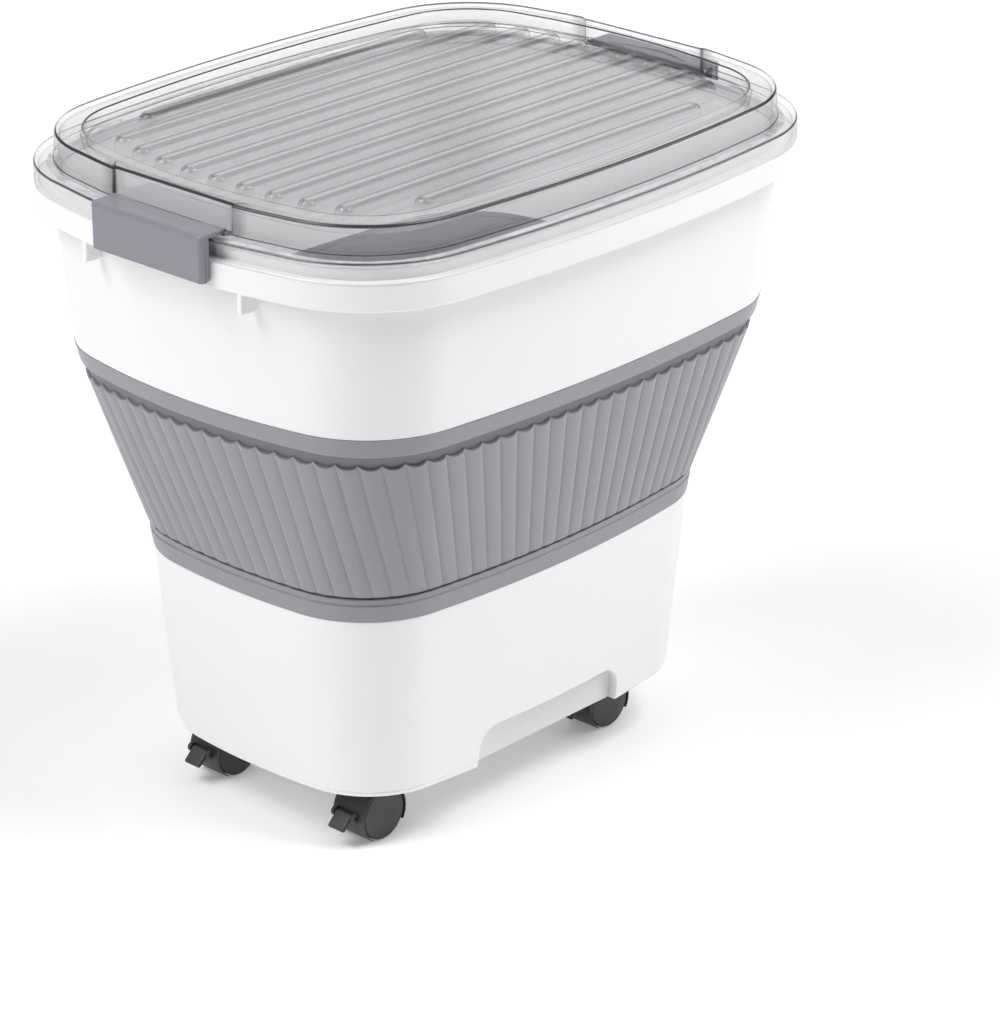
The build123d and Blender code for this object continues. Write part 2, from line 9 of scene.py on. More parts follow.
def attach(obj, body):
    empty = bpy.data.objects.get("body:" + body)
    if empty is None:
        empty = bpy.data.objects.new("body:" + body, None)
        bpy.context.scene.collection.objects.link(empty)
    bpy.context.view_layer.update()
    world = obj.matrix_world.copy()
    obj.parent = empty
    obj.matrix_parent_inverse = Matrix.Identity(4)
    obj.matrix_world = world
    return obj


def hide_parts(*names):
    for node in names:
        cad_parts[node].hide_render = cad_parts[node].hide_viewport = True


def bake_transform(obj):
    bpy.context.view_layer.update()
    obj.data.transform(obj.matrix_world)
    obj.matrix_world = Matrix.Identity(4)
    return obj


bl_info = {
    "name": "Collapsible food bin",
    "version": (1, 0, 0),
    "blender": (4, 5, 0),
    "location": "View3D > Sidebar > Food bin",
    "description": "Builds the shells, folding wall, lid, latches and casters of a collapsible food bin",
    "category": "Object",
}

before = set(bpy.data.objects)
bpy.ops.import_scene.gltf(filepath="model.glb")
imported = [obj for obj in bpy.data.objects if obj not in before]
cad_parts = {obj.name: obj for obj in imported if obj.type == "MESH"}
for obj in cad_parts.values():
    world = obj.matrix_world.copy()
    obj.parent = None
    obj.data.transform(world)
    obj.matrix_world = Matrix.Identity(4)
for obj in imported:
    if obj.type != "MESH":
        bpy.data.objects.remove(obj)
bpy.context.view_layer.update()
MM = 0.001


@dataclass
class Level:
    """The outline of the bin at one height in millimetres: half sizes, corner radius and bow radii."""

    height: float
    length: float
    width: float
    corner: float
    side_bow: float = 1000.0
    end_bow: float = 390.0


def spaced(start, end, steps):
    """Evenly spaced values from a start to an end, both of them included."""
    return tuple(start + (end - start) * step / steps for step in range(steps + 1))


# Outlines of the walls, from the floor up
FOOT = Level(36.5, 137.7, 95.9, 50.0, 700.0)
BIN_TOP = Level(141.5, 147.3, 104.9, 57.0, 700.0)
HINGE_LOW = Level(155.5, 149.1, 107.0, 58.0, 700.0)
HINGE_HIGH = Level(249.0, 176.0, 132.9, 61.0)
FRAME_LOW = Level(259.5, 178.3, 135.4, 62.0)
RIM_TOP = Level(354.6, 187.2, 144.3, 67.0)
FLANGE = Level(334.0, 195.0, 151.5, 74.0)
DOME_FOOT = Level(360.0, 184.4, 141.8, 67.0)
DOME_TOP = Level(375.5, 183.4, 140.8, 66.0)
TRAY = Level(375.5, 167.8, 125.6, 51.0)

# Points on a quarter of an outline: half an end, a corner and half a side
END_STEPS = 6
CORNER_STEPS = 14
SIDE_STEPS = 8
SQUARE_TURN = pi / 2

# How near points are that count as one, or as level
JOIN_GAP = 0.001
DOUBLE_GAP = 0.0005
LEVEL_GAP = 0.01

# Marks of painted shade, as dark lines painted along the clear lid's edges and shade painted into recesses:
# their name, and the share of a rounded corner that shows as a line
PAINTED_SHADE_MARK = "edge"
LINE_START = 0.3
LINE_END = 0.85

# Lower bin
PROUD = 0.4
WALL = 3.4
INSIDE = PROUD + WALL
BAND_THICKNESS = 2.0
FOOT_EDGE = 34.5
FOOT_INSET = 1.2
FOOT_LIP_STEP = 0.7
FOOT_GROOVE = 0.35
FOOT_GROOVE_STEP = 0.7
FLOOR_TOP = 64.0
FLOOR_UNDER = 61.0
FLOOR_ROUND = 7.0
BIN_RIM = 152.5
BIN_RIM_ROUND = 0.5
BIN_TOP_ROW = BIN_TOP.height - 4.0
GRIP_HALF_LENGTH = 56.0
GRIP_TOP = 57.0
GRIP_CORNER = 13.0
GRIP_FACE = 87.3
GRIP_LEAN = 3.0
# Painted shade on the finger grip's face, which falls in shade under the wall
GRIP_PAINTED_SHADE = 0.4
GRIP_WALL = 2.6
GRIP_ARC_STEPS = 3
GRIP_TOP_STEPS = 4
GRIP_ROUND_STEPS = 4
GRIP_STRAIGHT = GRIP_HALF_LENGTH - GRIP_CORNER
GRIP_ROWS = (
    FOOT_EDGE,
    FOOT_EDGE + FOOT_LIP_STEP,
    FOOT.height,
    FOOT.height + FOOT_GROOVE_STEP,
    FOOT.height + 2 * FOOT_GROOVE_STEP,
    GRIP_TOP - GRIP_CORNER,
)
WINDOW_HALF_LENGTH = 72.0
WINDOW_TOP = 72.0
WINDOW_MARGIN = 0.1
WINDOW_ROWS = GRIP_ROWS + spaced(GRIP_ROWS[-1], WINDOW_TOP, GRIP_ARC_STEPS)[1:]
GRIP_TOP_STOPS = spaced(GRIP_STRAIGHT, 0.0, GRIP_TOP_STEPS)[1:]
GRIP_STOPS = spaced(WINDOW_HALF_LENGTH, GRIP_STRAIGHT, GRIP_ARC_STEPS) + GRIP_TOP_STOPS
UNDER_ROWS = (FOOT_EDGE, 45.0, FLOOR_UNDER)
UNDER_TOP = FLOOR_UNDER + 1.0
UNDER_RIB_THICKNESS = 2.2
UNDER_RIB_LOW = 49.0
UNDER_RIB_HALF_LENGTH = 118.0
UNDER_RIB_ROUND = 0.4
UNDER_RIB_SINK = 1.6
SOCKET_RADIUS = 9.0
SOCKET_EASE = 0.6
SOCKET_BORE = 4.06
SOCKET_BORE_EASE = 0.4
SOCKET_TOP = 57.5
STEM_X = 92.0
STEM_Y = 56.0
STEM_SPOTS = {
    "near_left": (-STEM_X, -STEM_Y),
    "near_right": (STEM_X, -STEM_Y),
    "far_left": (-STEM_X, STEM_Y),
    "far_right": (STEM_X, STEM_Y),
}

# Collars: the bond to the shells, and the bead and groove near the top of the lower one
COLLAR_BOND = BAND_THICKNESS - 0.05
BEAD_TOP = 151.4
GROOVE_FLOOR = 151.7
GROOVE_TOP = 152.0
GROOVE_DEPTH = 1.1
HEEL_INSET = 0.6

# Folding wall: where a flute is cut into points across its width, from one valley to the next
FLUTE_STOPS = (-1.0, -0.94, -0.84, -0.62, -0.25, 0.25, 0.62, 0.84, 0.94)
FLUTE_CREST_POWER = 3.2
FLUTE_FOOT = 157.0
FLUTE_HEAD = 243.2
FLUTE_ROWS = 12
FOLD_INSET = 2.2
FOLD_THICKNESS = 2.0
FOLD_INNER_ROWS = (HINGE_HIGH.height, 225.0, 200.0, 178.0, HINGE_LOW.height)

# Its rows below and above the flutes: height, how far they stand out, how far they dip, and painted shade,
# which darkens the strips under the upper collar and above the lower one where shade falls
FLUTE_FOOT_ROWS = [
    (HINGE_LOW.height, 0.0, 0.0, 0.6),
    (FLUTE_FOOT - 0.5, 0.0, 0.0, 0.6),
    (FLUTE_FOOT, 0.7, 0.0, 0.3),
    (FLUTE_FOOT + 0.4, 1.0, 0.0, 0.0),
]
FLUTE_HEAD_ROWS = [
    (FLUTE_HEAD + 0.35, 0.75, 1.0, 0.3),
    (FLUTE_HEAD + 0.7, 0.0, 1.0, 1.0),
    (FLUTE_HEAD + 2.2, 0.0, 0.4, 1.0),
    (HINGE_HIGH.height, 0.0, 0.0, 1.0),
]

# Upper frame
FRAME_RIM_LOW = 252.0
FLANGE_LOW = 334.0
FLANGE_TOP = 348.0
FLANGE_THICKNESS = 2.6
DECK_UNDER = FLANGE_TOP - FLANGE_THICKNESS
DECK_REACH = 5.0
FIN_OFFSET = 57.0
FIN_THICKNESS = 3.2
FIN_REACH = 190.5
FIN_LOW = 323.0
FIN_ROOT = INSIDE - 1.4
FIN_ROUND = 0.8
CHANNEL_RIB_OFFSETS = (-105.0, -52.0, 0.0, 52.0, 105.0)
CHANNEL_RIB_THICKNESS = 2.0
CHANNEL_RIB_ROOT = INSIDE - 2.0
CHANNEL_RIB_TIP = 1.2
CHANNEL_RIB_ROUND = 0.3
DECK_SINK = 1.0

# Lid
LID_WALL = 2.4
LID_FLANGE_LOW = 357.0
LID_FLANGE_TOP = 360.0
LID_LAP = 8.0
SKIRT_LOW = 348.3
CEILING = DOME_TOP.height - LID_WALL
# Painted grey on the dome's walls, standing for how light bends through the clear plastic
DOME_WALL_PAINTED_SHADE = 0.1
DOME_STEP = 0.6
TRAY_FLOOR = 367.5
TRAY_DRAFT = 1.0
TRAY_LAP = 6.0
RIB_PITCH = 20.15
RIB_HALF_LENGTHS = (154.0, 154.0, 153.0, 150.0, 144.0, 108.0)
RIB_ROUND = 4.0
RIB_LAND = 0.5
RIB_STEPS = 6
# Painted dark line along each rib's crest, standing for the dark contour that light bending in the clear rib
# shows
RIB_CREST_PAINTED_SHADE = 0.18
RIB_TIP_SHADE = 0.8
RIB_TIP_RING = 6
PLUG_LOW = 351.0
PLUG_OUTSIDE = INSIDE + 0.5
PLUG_INSIDE = PLUG_OUTSIDE + 2.0
RECESS_FACE = 179.3
RECESS_HALF_WIDTH = 42.8
RECESS_STOPS = (0.0, 12.0, 24.0, 35.0)
RECESS_ROUND = 0.9
RECESS_STEP = 0.2
RECESS_LIP = 1.2
RECESS_OUTSIDE = 54.0
# Painted dark lines on the upright edges of the latch recesses: column and shade
RECESS_EDGE_PAINTED_SHADES = {4: 0.15, 5: 0.6, 6: 0.8, 7: 0.35}
LID_END_STOPS = RECESS_STOPS + (
    RECESS_HALF_WIDTH - RECESS_ROUND,
    RECESS_HALF_WIDTH,
    RECESS_HALF_WIDTH + RECESS_STEP,
    RECESS_HALF_WIDTH + RECESS_STEP + RECESS_LIP,
    RECESS_OUTSIDE,
)
HINGE_X = 183.2
HINGE_Z = 360.6
LUG_PROFILE = ((1.0, -1.3), (1.6, -1.3), (1.9, -1.0), (1.9, 1.0), (1.6, 1.3), (1.0, 1.3))

# Latches
LATCH_HALF_WIDTH = 40.5
LATCH_FACE = 200.0
LATCH_BACK = LATCH_FACE - 3.0
LATCH_TOP = 362.7
LATCH_UNDER = 360.4
LATCH_FOOT = 337.5
LATCH_ROUND = 2.6
LATCH_ROUND_STEPS = 8
LATCH_END_ROUND = 0.8
LATCH_SHOULDER = 34.0
BARB_REACH = 1.5
BARB_LOW = 338.3
BARB_HIGH = 344.0
BARB_TOP = 344.6
KNUCKLE_REACH = 1.2
KNUCKLE_LOW = 358.95
SCOOP_HALF_WIDTH = 30.0
SCOOP_SHARES = (1.0, 0.98, 0.94, 0.88, 0.8, 0.7, 0.6, 0.5, 0.4, 0.3, 0.2, 0.1)
SCOOP_REACH = 8.0
SCOOP_STEP = 0.7
SCOOP_DEPTH = 0.95
SCOOP_STEEPNESS = 6
CHEEK_REACH = 193.6
CHEEK_THICKNESS = 2.6
CHEEK_INSET = 0.5
CHEEK_TOP = 360.8
CHEEK_ROUND = 0.4
LUG_OFFSET = LATCH_HALF_WIDTH + 1.6

# Casters, round a stem on the Z axis
TRAIL = 11.0
WHEEL_RADIUS = 15.0
WHEEL_INNER = 3.0
WHEEL_OUTER = 12.0
WHEEL_CROWN = 0.8
WHEEL_CROWN_ROUND = 30.0
AXLE_BORE = 2.06
AXLE_ROOM = 10.9
HOOD_INNER = 15.6
HOOD_OUTER = 17.0
HOOD_HALF_WIDTH = 11.6
HOOD_STEPS = 48
HOOD_START = -30.0
HOOD_SWEEP = 265.0
HOOD_FEATHER = 40.0
HOOD_FOOT = 0.4
HOOD_TOP = 33.0
HOOD_WEB = 2.6
WEB_RADIUS = HOOD_INNER + 0.3
WEB_STEPS = 40
NECK_RADIUS = 7.5
NECK_BORE = 4.0
NECK_LOW = 24.0
BOSS_PROFILE = ((2.0, -HOOD_WEB), (5.0, -HOOD_WEB), (5.0, HOOD_WEB), (2.0, HOOD_WEB))
EAR_PROFILE = ((1.16, 6.0, 0.0), (2.6, 6.0, 0.4), (2.6, 8.2, 0.4), (1.16, 8.2, 0.0))
PEDAL_PIVOT = Vector((-19.0, 3.0))
PEDAL_TIP = Vector((-25.3, -2.6))
PEDAL_HALF_WIDTH = 5.75
PEDAL_THICKNESS = 2.4
PEDAL_ROOT_RADIUS = 1.7
PEDAL_ROUND_STEPS = 8
TRUNNION_RADIUS = 1.1
TRUNNION_REACH = PEDAL_HALF_WIDTH + 1.8
TRUNNION_STEPS = 20

# The pedal's rounded ends: how far its outline is moved in, and how far from the end that is
PEDAL_EASE = ((0.7, 0.0), (0.3, 0.25), (0.0, 0.8))

# Values of the finishes: the painted shade in recesses, the rubber's sheen, and the dark tint of painted
# edge lines and of clear edges seen side on
WHITE = (1.0, 1.0, 1.0, 1.0)
PAINTED_SHADE_TONE = 0.62
RUBBER_SHEEN = {"Sheen Weight": 0.3, "Sheen Roughness": 0.4}
PAINTED_EDGE_TINT = (0.045, 0.046, 0.05, 1.0)

# Studio: the floor's glow, which rises from near to far in metres, and the light of the backdrop
FLOOR_HALF_SIZE = 8.0
FLOOR_NEAR = 1.0
FLOOR_FAR = 3.5
FLOOR_GLOW = 0.85
FLOOR_NEAR_GLOW = (0.235, 0.235, 0.235, 1.0)
WORLD_LIGHT = 0.05
WORLD_SEEN = 0.95

# Soft lights: place, size and power
LIGHT_AIM = Vector((0.0, 0.0, 0.2))
SOFTBOXES = {
    "Left softbox": ((-2.0, 0.6, 2.0), (1.5, 1.5), 33.0),
    "High left softbox": ((-1.5, 0.8, 2.9), (1.5, 1.5), 34.0),
    "Right softbox": ((1.9, -1.6, 1.4), (1.4, 1.8), 20.0),
    "High right softbox": ((0.8, -1.5, 2.9), (1.5, 1.5), 60.0),
    "Back softbox": ((1.8, 1.7, 1.3), (3.0, 1.6), 14.0),
}

# Camera: its place, and the picture's right, up and back directions
CAMERA_EYE = Vector((-1464.8, -1404.6, 1023.0))
CAMERA_RIGHT = Vector((0.67707, -0.73592, 0.0))
CAMERA_UP = Vector((0.29257, 0.26918, 0.91758))
CAMERA_BACK = Vector((-0.67526, -0.62126, 0.39756))
CAMERA_LENS = 142.55
CAMERA_SENSOR = 36.0
CAMERA_CLIP = 50.0


# Settings that a user would change

DISTANCE = {"subtype": "DISTANCE", "unit": "LENGTH"}


class FoodBinSizes(bpy.types.PropertyGroup):
    """Sizes of the details"""

    flute_count: bpy.props.IntProperty(
        name="Flutes", description="Upright flutes round the folding wall", default=88, min=8
    )
    flute_bulge: bpy.props.FloatProperty(
        name="Flute bulge",
        description="How far a flute stands out between its valleys",
        default=1.1 * MM,
        **DISTANCE,
    )
    flute_dip: bpy.props.FloatProperty(
        name="Flute dip",
        description="How far the head of a flute dips below its valleys",
        default=2.6 * MM,
        **DISTANCE,
    )
    lid_round: bpy.props.FloatProperty(
        name="Lid edge round", description="Radius of the lid's outer edges", default=1.6 * MM, **DISTANCE
    )
    rib_width: bpy.props.FloatProperty(
        name="Rib width", description="Width of a rib in the lid's tray", default=11.0 * MM, **DISTANCE
    )
    rib_height: bpy.props.FloatProperty(
        name="Rib height", description="Height of a rib in the lid's tray", default=6.0 * MM, **DISTANCE
    )
    grip_round: bpy.props.FloatProperty(
        name="Grip edge round", description="Radius round the finger grips", default=1.0 * MM, **DISTANCE
    )


class FoodBinColours(bpy.types.PropertyGroup):
    """Colours of the finishes"""

    shell: bpy.props.FloatVectorProperty(
        name="Shell", description="Moulded bin and frame", default=(0.87, 0.87, 0.875), subtype="COLOR"
    )
    rubber: bpy.props.FloatVectorProperty(
        name="Rubber", description="Collars and folding wall", default=(0.282, 0.279, 0.304), subtype="COLOR"
    )
    latch: bpy.props.FloatVectorProperty(
        name="Latch", description="Flap latches", default=(0.238, 0.234, 0.266), subtype="COLOR"
    )
    caster: bpy.props.FloatVectorProperty(
        name="Caster", description="Wheels, hoods and pedals", default=(0.045, 0.044, 0.049), subtype="COLOR"
    )
    lid: bpy.props.FloatVectorProperty(
        name="Lid", description="Light through the lid", default=(0.992, 0.994, 0.997), subtype="COLOR"
    )
    seal: bpy.props.FloatVectorProperty(
        name="Seal", description="Ring under the lid", default=(0.74, 0.74, 0.75), subtype="COLOR"
    )
    metal: bpy.props.FloatVectorProperty(
        name="Metal", description="Pins, stems and axles", default=(0.55, 0.55, 0.57), subtype="COLOR"
    )
    floor: bpy.props.FloatVectorProperty(
        name="Floor", description="Studio floor", default=(0.9, 0.9, 0.9), subtype="COLOR"
    )


# Outlines and profiles


def between(low, high, height):
    """The level of a straight wall at a height on the line through two of its levels."""
    share = (height - low.height) / (high.height - low.height)
    mixed = [first + share * (second - first) for first, second in zip(astuple(low), astuple(high))]
    return Level(height, *mixed[1:])


def foot_wall(height):
    """The lower bin's wall, upright in the lip below its foot level."""
    return between(FOOT, BIN_TOP, height) if height > FOOT.height else replace(FOOT, height=height)


def bin_band(height):
    """The band between the lower bin and the foot of the folding wall."""
    return between(BIN_TOP, HINGE_LOW, height)


def fold_wall(height):
    """The plain cone that the folding wall follows."""
    return between(HINGE_LOW, HINGE_HIGH, height)


def frame_band(height):
    """The band between the head of the folding wall and the upper frame."""
    return between(HINGE_HIGH, FRAME_LOW, height)


def frame_wall(height):
    """The upper frame's wall."""
    return between(FRAME_LOW, RIM_TOP, height) if height > FRAME_LOW.height else frame_band(height)


def flange_edge(height):
    """The upright edge that the frame's flange and the lid share."""
    return replace(FLANGE, height=height)


def plug_wall(height):
    """The ring under the lid that fits inside the frame's rim."""
    return replace(frame_wall(PLUG_LOW), height=height)


def dome_wall(height):
    """The lid's low dome."""
    return between(DOME_FOOT, DOME_TOP, height)


def tray_wall(height):
    """The wall of the lid's sunk tray, with its draft."""
    inset = TRAY_DRAFT * (TRAY.height - height) / (TRAY.height - TRAY_FLOOR)
    return Level(height, TRAY.length - inset, TRAY.width - inset, TRAY.corner - inset)


class Bows:
    """The arcs of a quarter of an outline: an end bow, a corner and a side bow."""

    def __init__(self, level, inset=0.0):
        self.end = level.end_bow - inset
        self.side = level.side_bow - inset
        self.corner = level.corner - inset
        self.end_centre = Vector((level.length - inset - self.end, 0.0))
        self.side_centre = Vector((0.0, level.width - inset - self.side))
        apart = self.end_centre - self.side_centre
        along = (self.side - self.corner) ** 2 - (self.end - self.corner) ** 2 + apart.length_squared
        along = along / (2 * apart.length)
        across = sqrt((self.side - self.corner) ** 2 - along**2)
        forward = apart.normalized()
        self.centre = self.side_centre + forward * along + Vector((forward.y, -forward.x)) * across
        to_end = self.centre - self.end_centre
        to_side = self.centre - self.side_centre
        self.end_turn = atan2(to_end.y, to_end.x)
        self.side_turn = atan2(to_side.y, to_side.x)
        self.runs = (
            self.end * self.end_turn,
            self.corner * (self.side_turn - self.end_turn),
            self.side * (SQUARE_TURN - self.side_turn),
        )

    def at(self, run):
        """The point and the outward direction a length along the quarter, from the middle of the end."""
        if run < self.runs[0]:
            centre, radius, turn = self.end_centre, self.end, run / self.end
        elif run < self.runs[0] + self.runs[1]:
            centre, radius = self.centre, self.corner
            turn = self.end_turn + (run - self.runs[0]) / self.corner
        else:
            centre, radius = self.side_centre, self.side
            turn = self.side_turn + (run - self.runs[0] - self.runs[1]) / self.side
        outward = Vector((cos(turn), sin(turn)))
        return centre + outward * radius, outward

    def end_at(self, across):
        """The end bow's reach along X at a distance across."""
        return self.end_centre.x + sqrt(self.end**2 - across**2)

    def side_at(self, along):
        """The side bow's reach along Y at a distance along."""
        return self.side_centre.y + sqrt(self.side**2 - along**2)

    def past_end(self, side_stops=()):
        """The points of the quarter past its end: the corner, and the side with any fixed stops."""
        end, corner, side = self.runs
        runs = [end + corner * step / CORNER_STEPS for step in range(CORNER_STEPS + 1)]
        if not side_stops:
            runs += [end + corner + side * step / SIDE_STEPS for step in range(1, SIDE_STEPS + 1)]
        points = [self.at(run)[0] for run in runs]
        return points + [(stop, self.side_at(stop)) for stop in side_stops]


def mirrored_round(quarter, height):
    """A closed loop of points from a quarter, which runs from mid end to mid side."""
    ahead = quarter[:-1]
    back = quarter[:0:-1]
    loop = []
    for points, x_side, y_side in ((ahead, 1, 1), (back, -1, 1), (ahead, -1, -1), (back, 1, -1)):
        loop += [Vector((x_side * x, y_side * y, height)) for x, y in points]
    return loop


def ring(level, inset=0.0, side_stops=(), end_stops=()):
    """Points round the bin's outline at a level, moved in by an inset, with any fixed stops on its bows."""
    bows = Bows(level, inset)
    if end_stops:
        quarter = [(bows.end_at(stop), stop) for stop in end_stops]
    else:
        quarter = [bows.at(bows.runs[0] * step / END_STEPS)[0] for step in range(END_STEPS)]
    return mirrored_round(quarter + bows.past_end(side_stops), level.height)


def eased(corners, steps=4):
    """A run of straight lines through corners (across, height, radius), with each inner corner rounded."""
    spots = [Vector(corner[:2]) for corner in corners]
    run = [spots[0]]
    for before, here, after, corner in zip(spots, spots[1:], spots[2:], corners[1:]):
        radius = corner[2]
        if radius == 0.0:
            run.append(here)
            continue
        back = (before - here).normalized()
        ahead = (after - here).normalized()
        half = back.angle(ahead) / 2
        centre = here + (back + ahead).normalized() * radius / sin(half)
        start = here + back * radius / tan(half) - centre
        turn = -start.angle_signed(here + ahead * radius / tan(half) - centre)
        for angle in spaced(0.0, turn, steps):
            x = start.x * cos(angle) - start.y * sin(angle)
            y = start.x * sin(angle) + start.y * cos(angle)
            run.append(centre + Vector((x, y)))
    run.append(spots[-1])
    return run


def shades_along(corners, steps):
    """How dark the painted line shows at each point of an eased run of corners (across, height, radius,
    painted shade).
    """
    shades = [0.0]
    for corner in corners[1:-1]:
        radius, shade = corner[2:]
        if radius == 0.0:
            shades.append(shade)
        else:
            shades += [shade if LINE_START < share < LINE_END else 0.0 for share in spaced(0.0, 1.0, steps)]
    return shades + [0.0]


def rings_along(wall, corners, steps=4, **stops):
    """Outlines of one wall along a profile of corners (inset, height, radius)."""
    return [ring(wall(height), inset, **stops) for inset, height in eased(corners, steps)]


# Meshes, in millimetres until they are finished


def edges_along(line, closed=True):
    """The edges between neighbours on a line of vertices."""
    ahead = line[1:] + line[:1] if closed else line[1:]
    edges = []
    for here, there in zip(line, ahead):
        edges += [edge for edge in here.link_edges if edge.other_vert(here) is there]
    return edges


def drawn_on(mesh, line, points, closed=True):
    """Extrudes a line of vertices to new points, one for each, and gives the new line."""
    made = bmesh.ops.extrude_edge_only(mesh, edges=edges_along(line, closed))["geom"]
    fresh = {item for item in made if isinstance(item, bmesh.types.BMVert)}
    new_line = []
    for vertex, point in zip(line, points):
        others = [edge.other_vert(vertex) for edge in vertex.link_edges]
        twin = next(other for other in others if other in fresh)
        twin.co = point
        new_line.append(twin)
    return new_line


def started(mesh, points):
    """A closed line of vertices: a circle whose vertices are moved onto the points."""
    line = bmesh.ops.create_circle(mesh, segments=len(points), radius=1.0)["verts"]
    for vertex, point in zip(line, points):
        vertex.co = point
    return line


def capped(mesh, line):
    """Closes a line of vertices with a face."""
    bmesh.ops.contextual_create(mesh, geom=edges_along(line))


def skin(mesh, rings, ends="capped"):
    """A skin through rings of points whose ends are capped, joined to each other or left open."""
    lines = [started(mesh, rings[0])]
    for points in rings[1:]:
        lines.append(drawn_on(mesh, lines[-1], points))
    if ends == "capped":
        capped(mesh, lines[0])
        capped(mesh, lines[-1])
    elif ends == "joined":
        last = drawn_on(mesh, lines[-1], rings[0])
        bmesh.ops.remove_doubles(mesh, verts=lines[0] + last, dist=JOIN_GAP)
    return lines


def paint_shade(lines, shades, mark):
    """Marks the painted shade of each line of vertices."""
    for line, shade in zip(lines, shades):
        for vertex in line:
            vertex[mark] = shade


def block(mesh, first, second, edge_round):
    """A box between two opposite corners with rounded edges."""
    size = [abs(there - here) for here, there in zip(first, second)]
    place = Matrix.Translation((Vector(first) + Vector(second)) / 2) @ Matrix.Diagonal(size).to_4x4()
    verts = bmesh.ops.create_cube(mesh, size=1.0, matrix=place)["verts"]
    edges = list({edge for vertex in verts for edge in vertex.link_edges})
    bmesh.ops.bevel(
        mesh, geom=edges, offset=edge_round, affect="EDGES", segments=3, profile=0.5, material=-1
    )


def turned(mesh, points, centre, axis, steps):
    """Spins a closed profile of points once round an axis."""
    line = started(mesh, points)
    geom = line + edges_along(line)
    bmesh.ops.spin(mesh, geom=geom, cent=centre, axis=axis, angle=2 * pi, steps=steps, use_merge=True)


def turned_upright(mesh, spot, profile, steps=40):
    """Spins a profile (across, height) round an upright line through a spot."""
    points = [Vector((spot[0] + across, spot[1], height)) for across, height in profile]
    turned(mesh, points, (spot[0], spot[1], 0.0), (0, 0, 1), steps)


def turned_across(mesh, centre, profile, steps):
    """Spins a profile (out from the line, along it) round a line through a centre, across the bin."""
    points = [centre + Vector((out, along, 0.0)) for out, along in profile]
    turned(mesh, points, centre, (0, 1, 0), steps)


def open_edges(mesh, height):
    """The edges at a height that have a face on one side only."""
    edges = [edge for edge in mesh.edges if edge.is_boundary]
    return [edge for edge in edges if all(abs(vertex.co.z - height) < LEVEL_GAP for vertex in edge.verts)]


def finished(mesh, name, body, node, slot, sharp=32.0):
    """Makes a piece of a mesh, which rides on a body if one is named and stands for its node."""
    bmesh.ops.remove_doubles(mesh, verts=mesh.verts, dist=DOUBLE_GAP)
    bmesh.ops.recalc_face_normals(mesh, faces=mesh.faces)
    bmesh.ops.scale(mesh, vec=(MM, MM, MM), verts=mesh.verts)
    data = bpy.data.meshes.new(name)
    mesh.to_mesh(data)
    mesh.free()
    data.shade_smooth()
    data.set_sharp_from_angle(angle=radians(sharp))
    data.materials.append(finish_of(slot))
    piece = bpy.data.objects.new(name, data)
    bpy.context.scene.collection.objects.link(piece)
    shading = piece.modifiers.new("Even shading", "WEIGHTED_NORMAL")
    shading.keep_sharp = True
    if body:
        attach(piece, body)
    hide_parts(node)
    return piece


# Finishes


class Wire:
    """A socket in a finish, whose sums add Math nodes."""

    def __init__(self, nodes, socket):
        self.nodes = nodes
        self.socket = socket

    def maths(self, operation, *values):
        return self.nodes.add("ShaderNodeMath", {"operation": operation}, dict(enumerate(values)))

    def __add__(self, other):
        return self.maths("ADD", self, other)

    def __radd__(self, other):
        return self.maths("ADD", other, self)

    def __sub__(self, other):
        return self.maths("SUBTRACT", self, other)

    def __rsub__(self, other):
        return self.maths("SUBTRACT", other, self)

    def __mul__(self, other):
        return self.maths("MULTIPLY", self, other)

    def __rmul__(self, other):
        return self.maths("MULTIPLY", other, self)

    def __pow__(self, other):
        return self.maths("POWER", self, other)

    def __rpow__(self, other):
        return self.maths("POWER", other, self)


class Nodes:
    """The nodes of a material or the world, added one by one: settings first and then sockets."""

    def __init__(self, owner):
        self.owner = owner
        owner.use_nodes = True
        self.tree = owner.node_tree
        self.tree.nodes.clear()

    def add(self, kind, settings=None, sockets=None, out=0):
        node = self.tree.nodes.new(kind)
        for name, value in (settings or {}).items():
            setattr(node, name, value)
        for name, value in (sockets or {}).items():
            if isinstance(value, Wire):
                self.tree.links.new(value.socket, node.inputs[name])
            else:
                node.inputs[name].default_value = value
        return Wire(self, node.outputs[out]) if node.outputs else None

    def shown(self, shader, output="ShaderNodeOutputMaterial"):
        """Leads a shader to the output, and gives the finished material or world."""
        self.add(output, sockets={"Surface": shader})
        return self.owner


class Finish(Nodes):
    """A material under way, with patterns on Object coordinates."""

    def __init__(self, name):
        super().__init__(bpy.data.materials.new(name))
        self.place = self.add("ShaderNodeTexCoord", out="Object")

    def noise(self, scale, detail, roughness=0.5):
        sockets = {"Vector": self.place, "Scale": scale, "Detail": detail, "Roughness": roughness}
        return self.add("ShaderNodeTexNoise", sockets=sockets)

    def blended(self, factor, first, second):
        sockets = {"Factor": factor, 6: first, 7: second}
        return self.add("ShaderNodeMix", {"data_type": "RGBA"}, sockets, out=2)

    # The painted shade marked on a piece's vertices
    def painted_shade_mark(self):
        return self.add("ShaderNodeAttribute", {"attribute_name": PAINTED_SHADE_MARK}, out="Fac")

    def plastic(self, sockets):
        return self.add("ShaderNodeBsdfPrincipled", sockets=sockets)


def toned(colour, share):
    """A colour made lighter or darker by a share, with full alpha."""
    return tuple(min(1.0, part * share) for part in colour) + (1.0,)


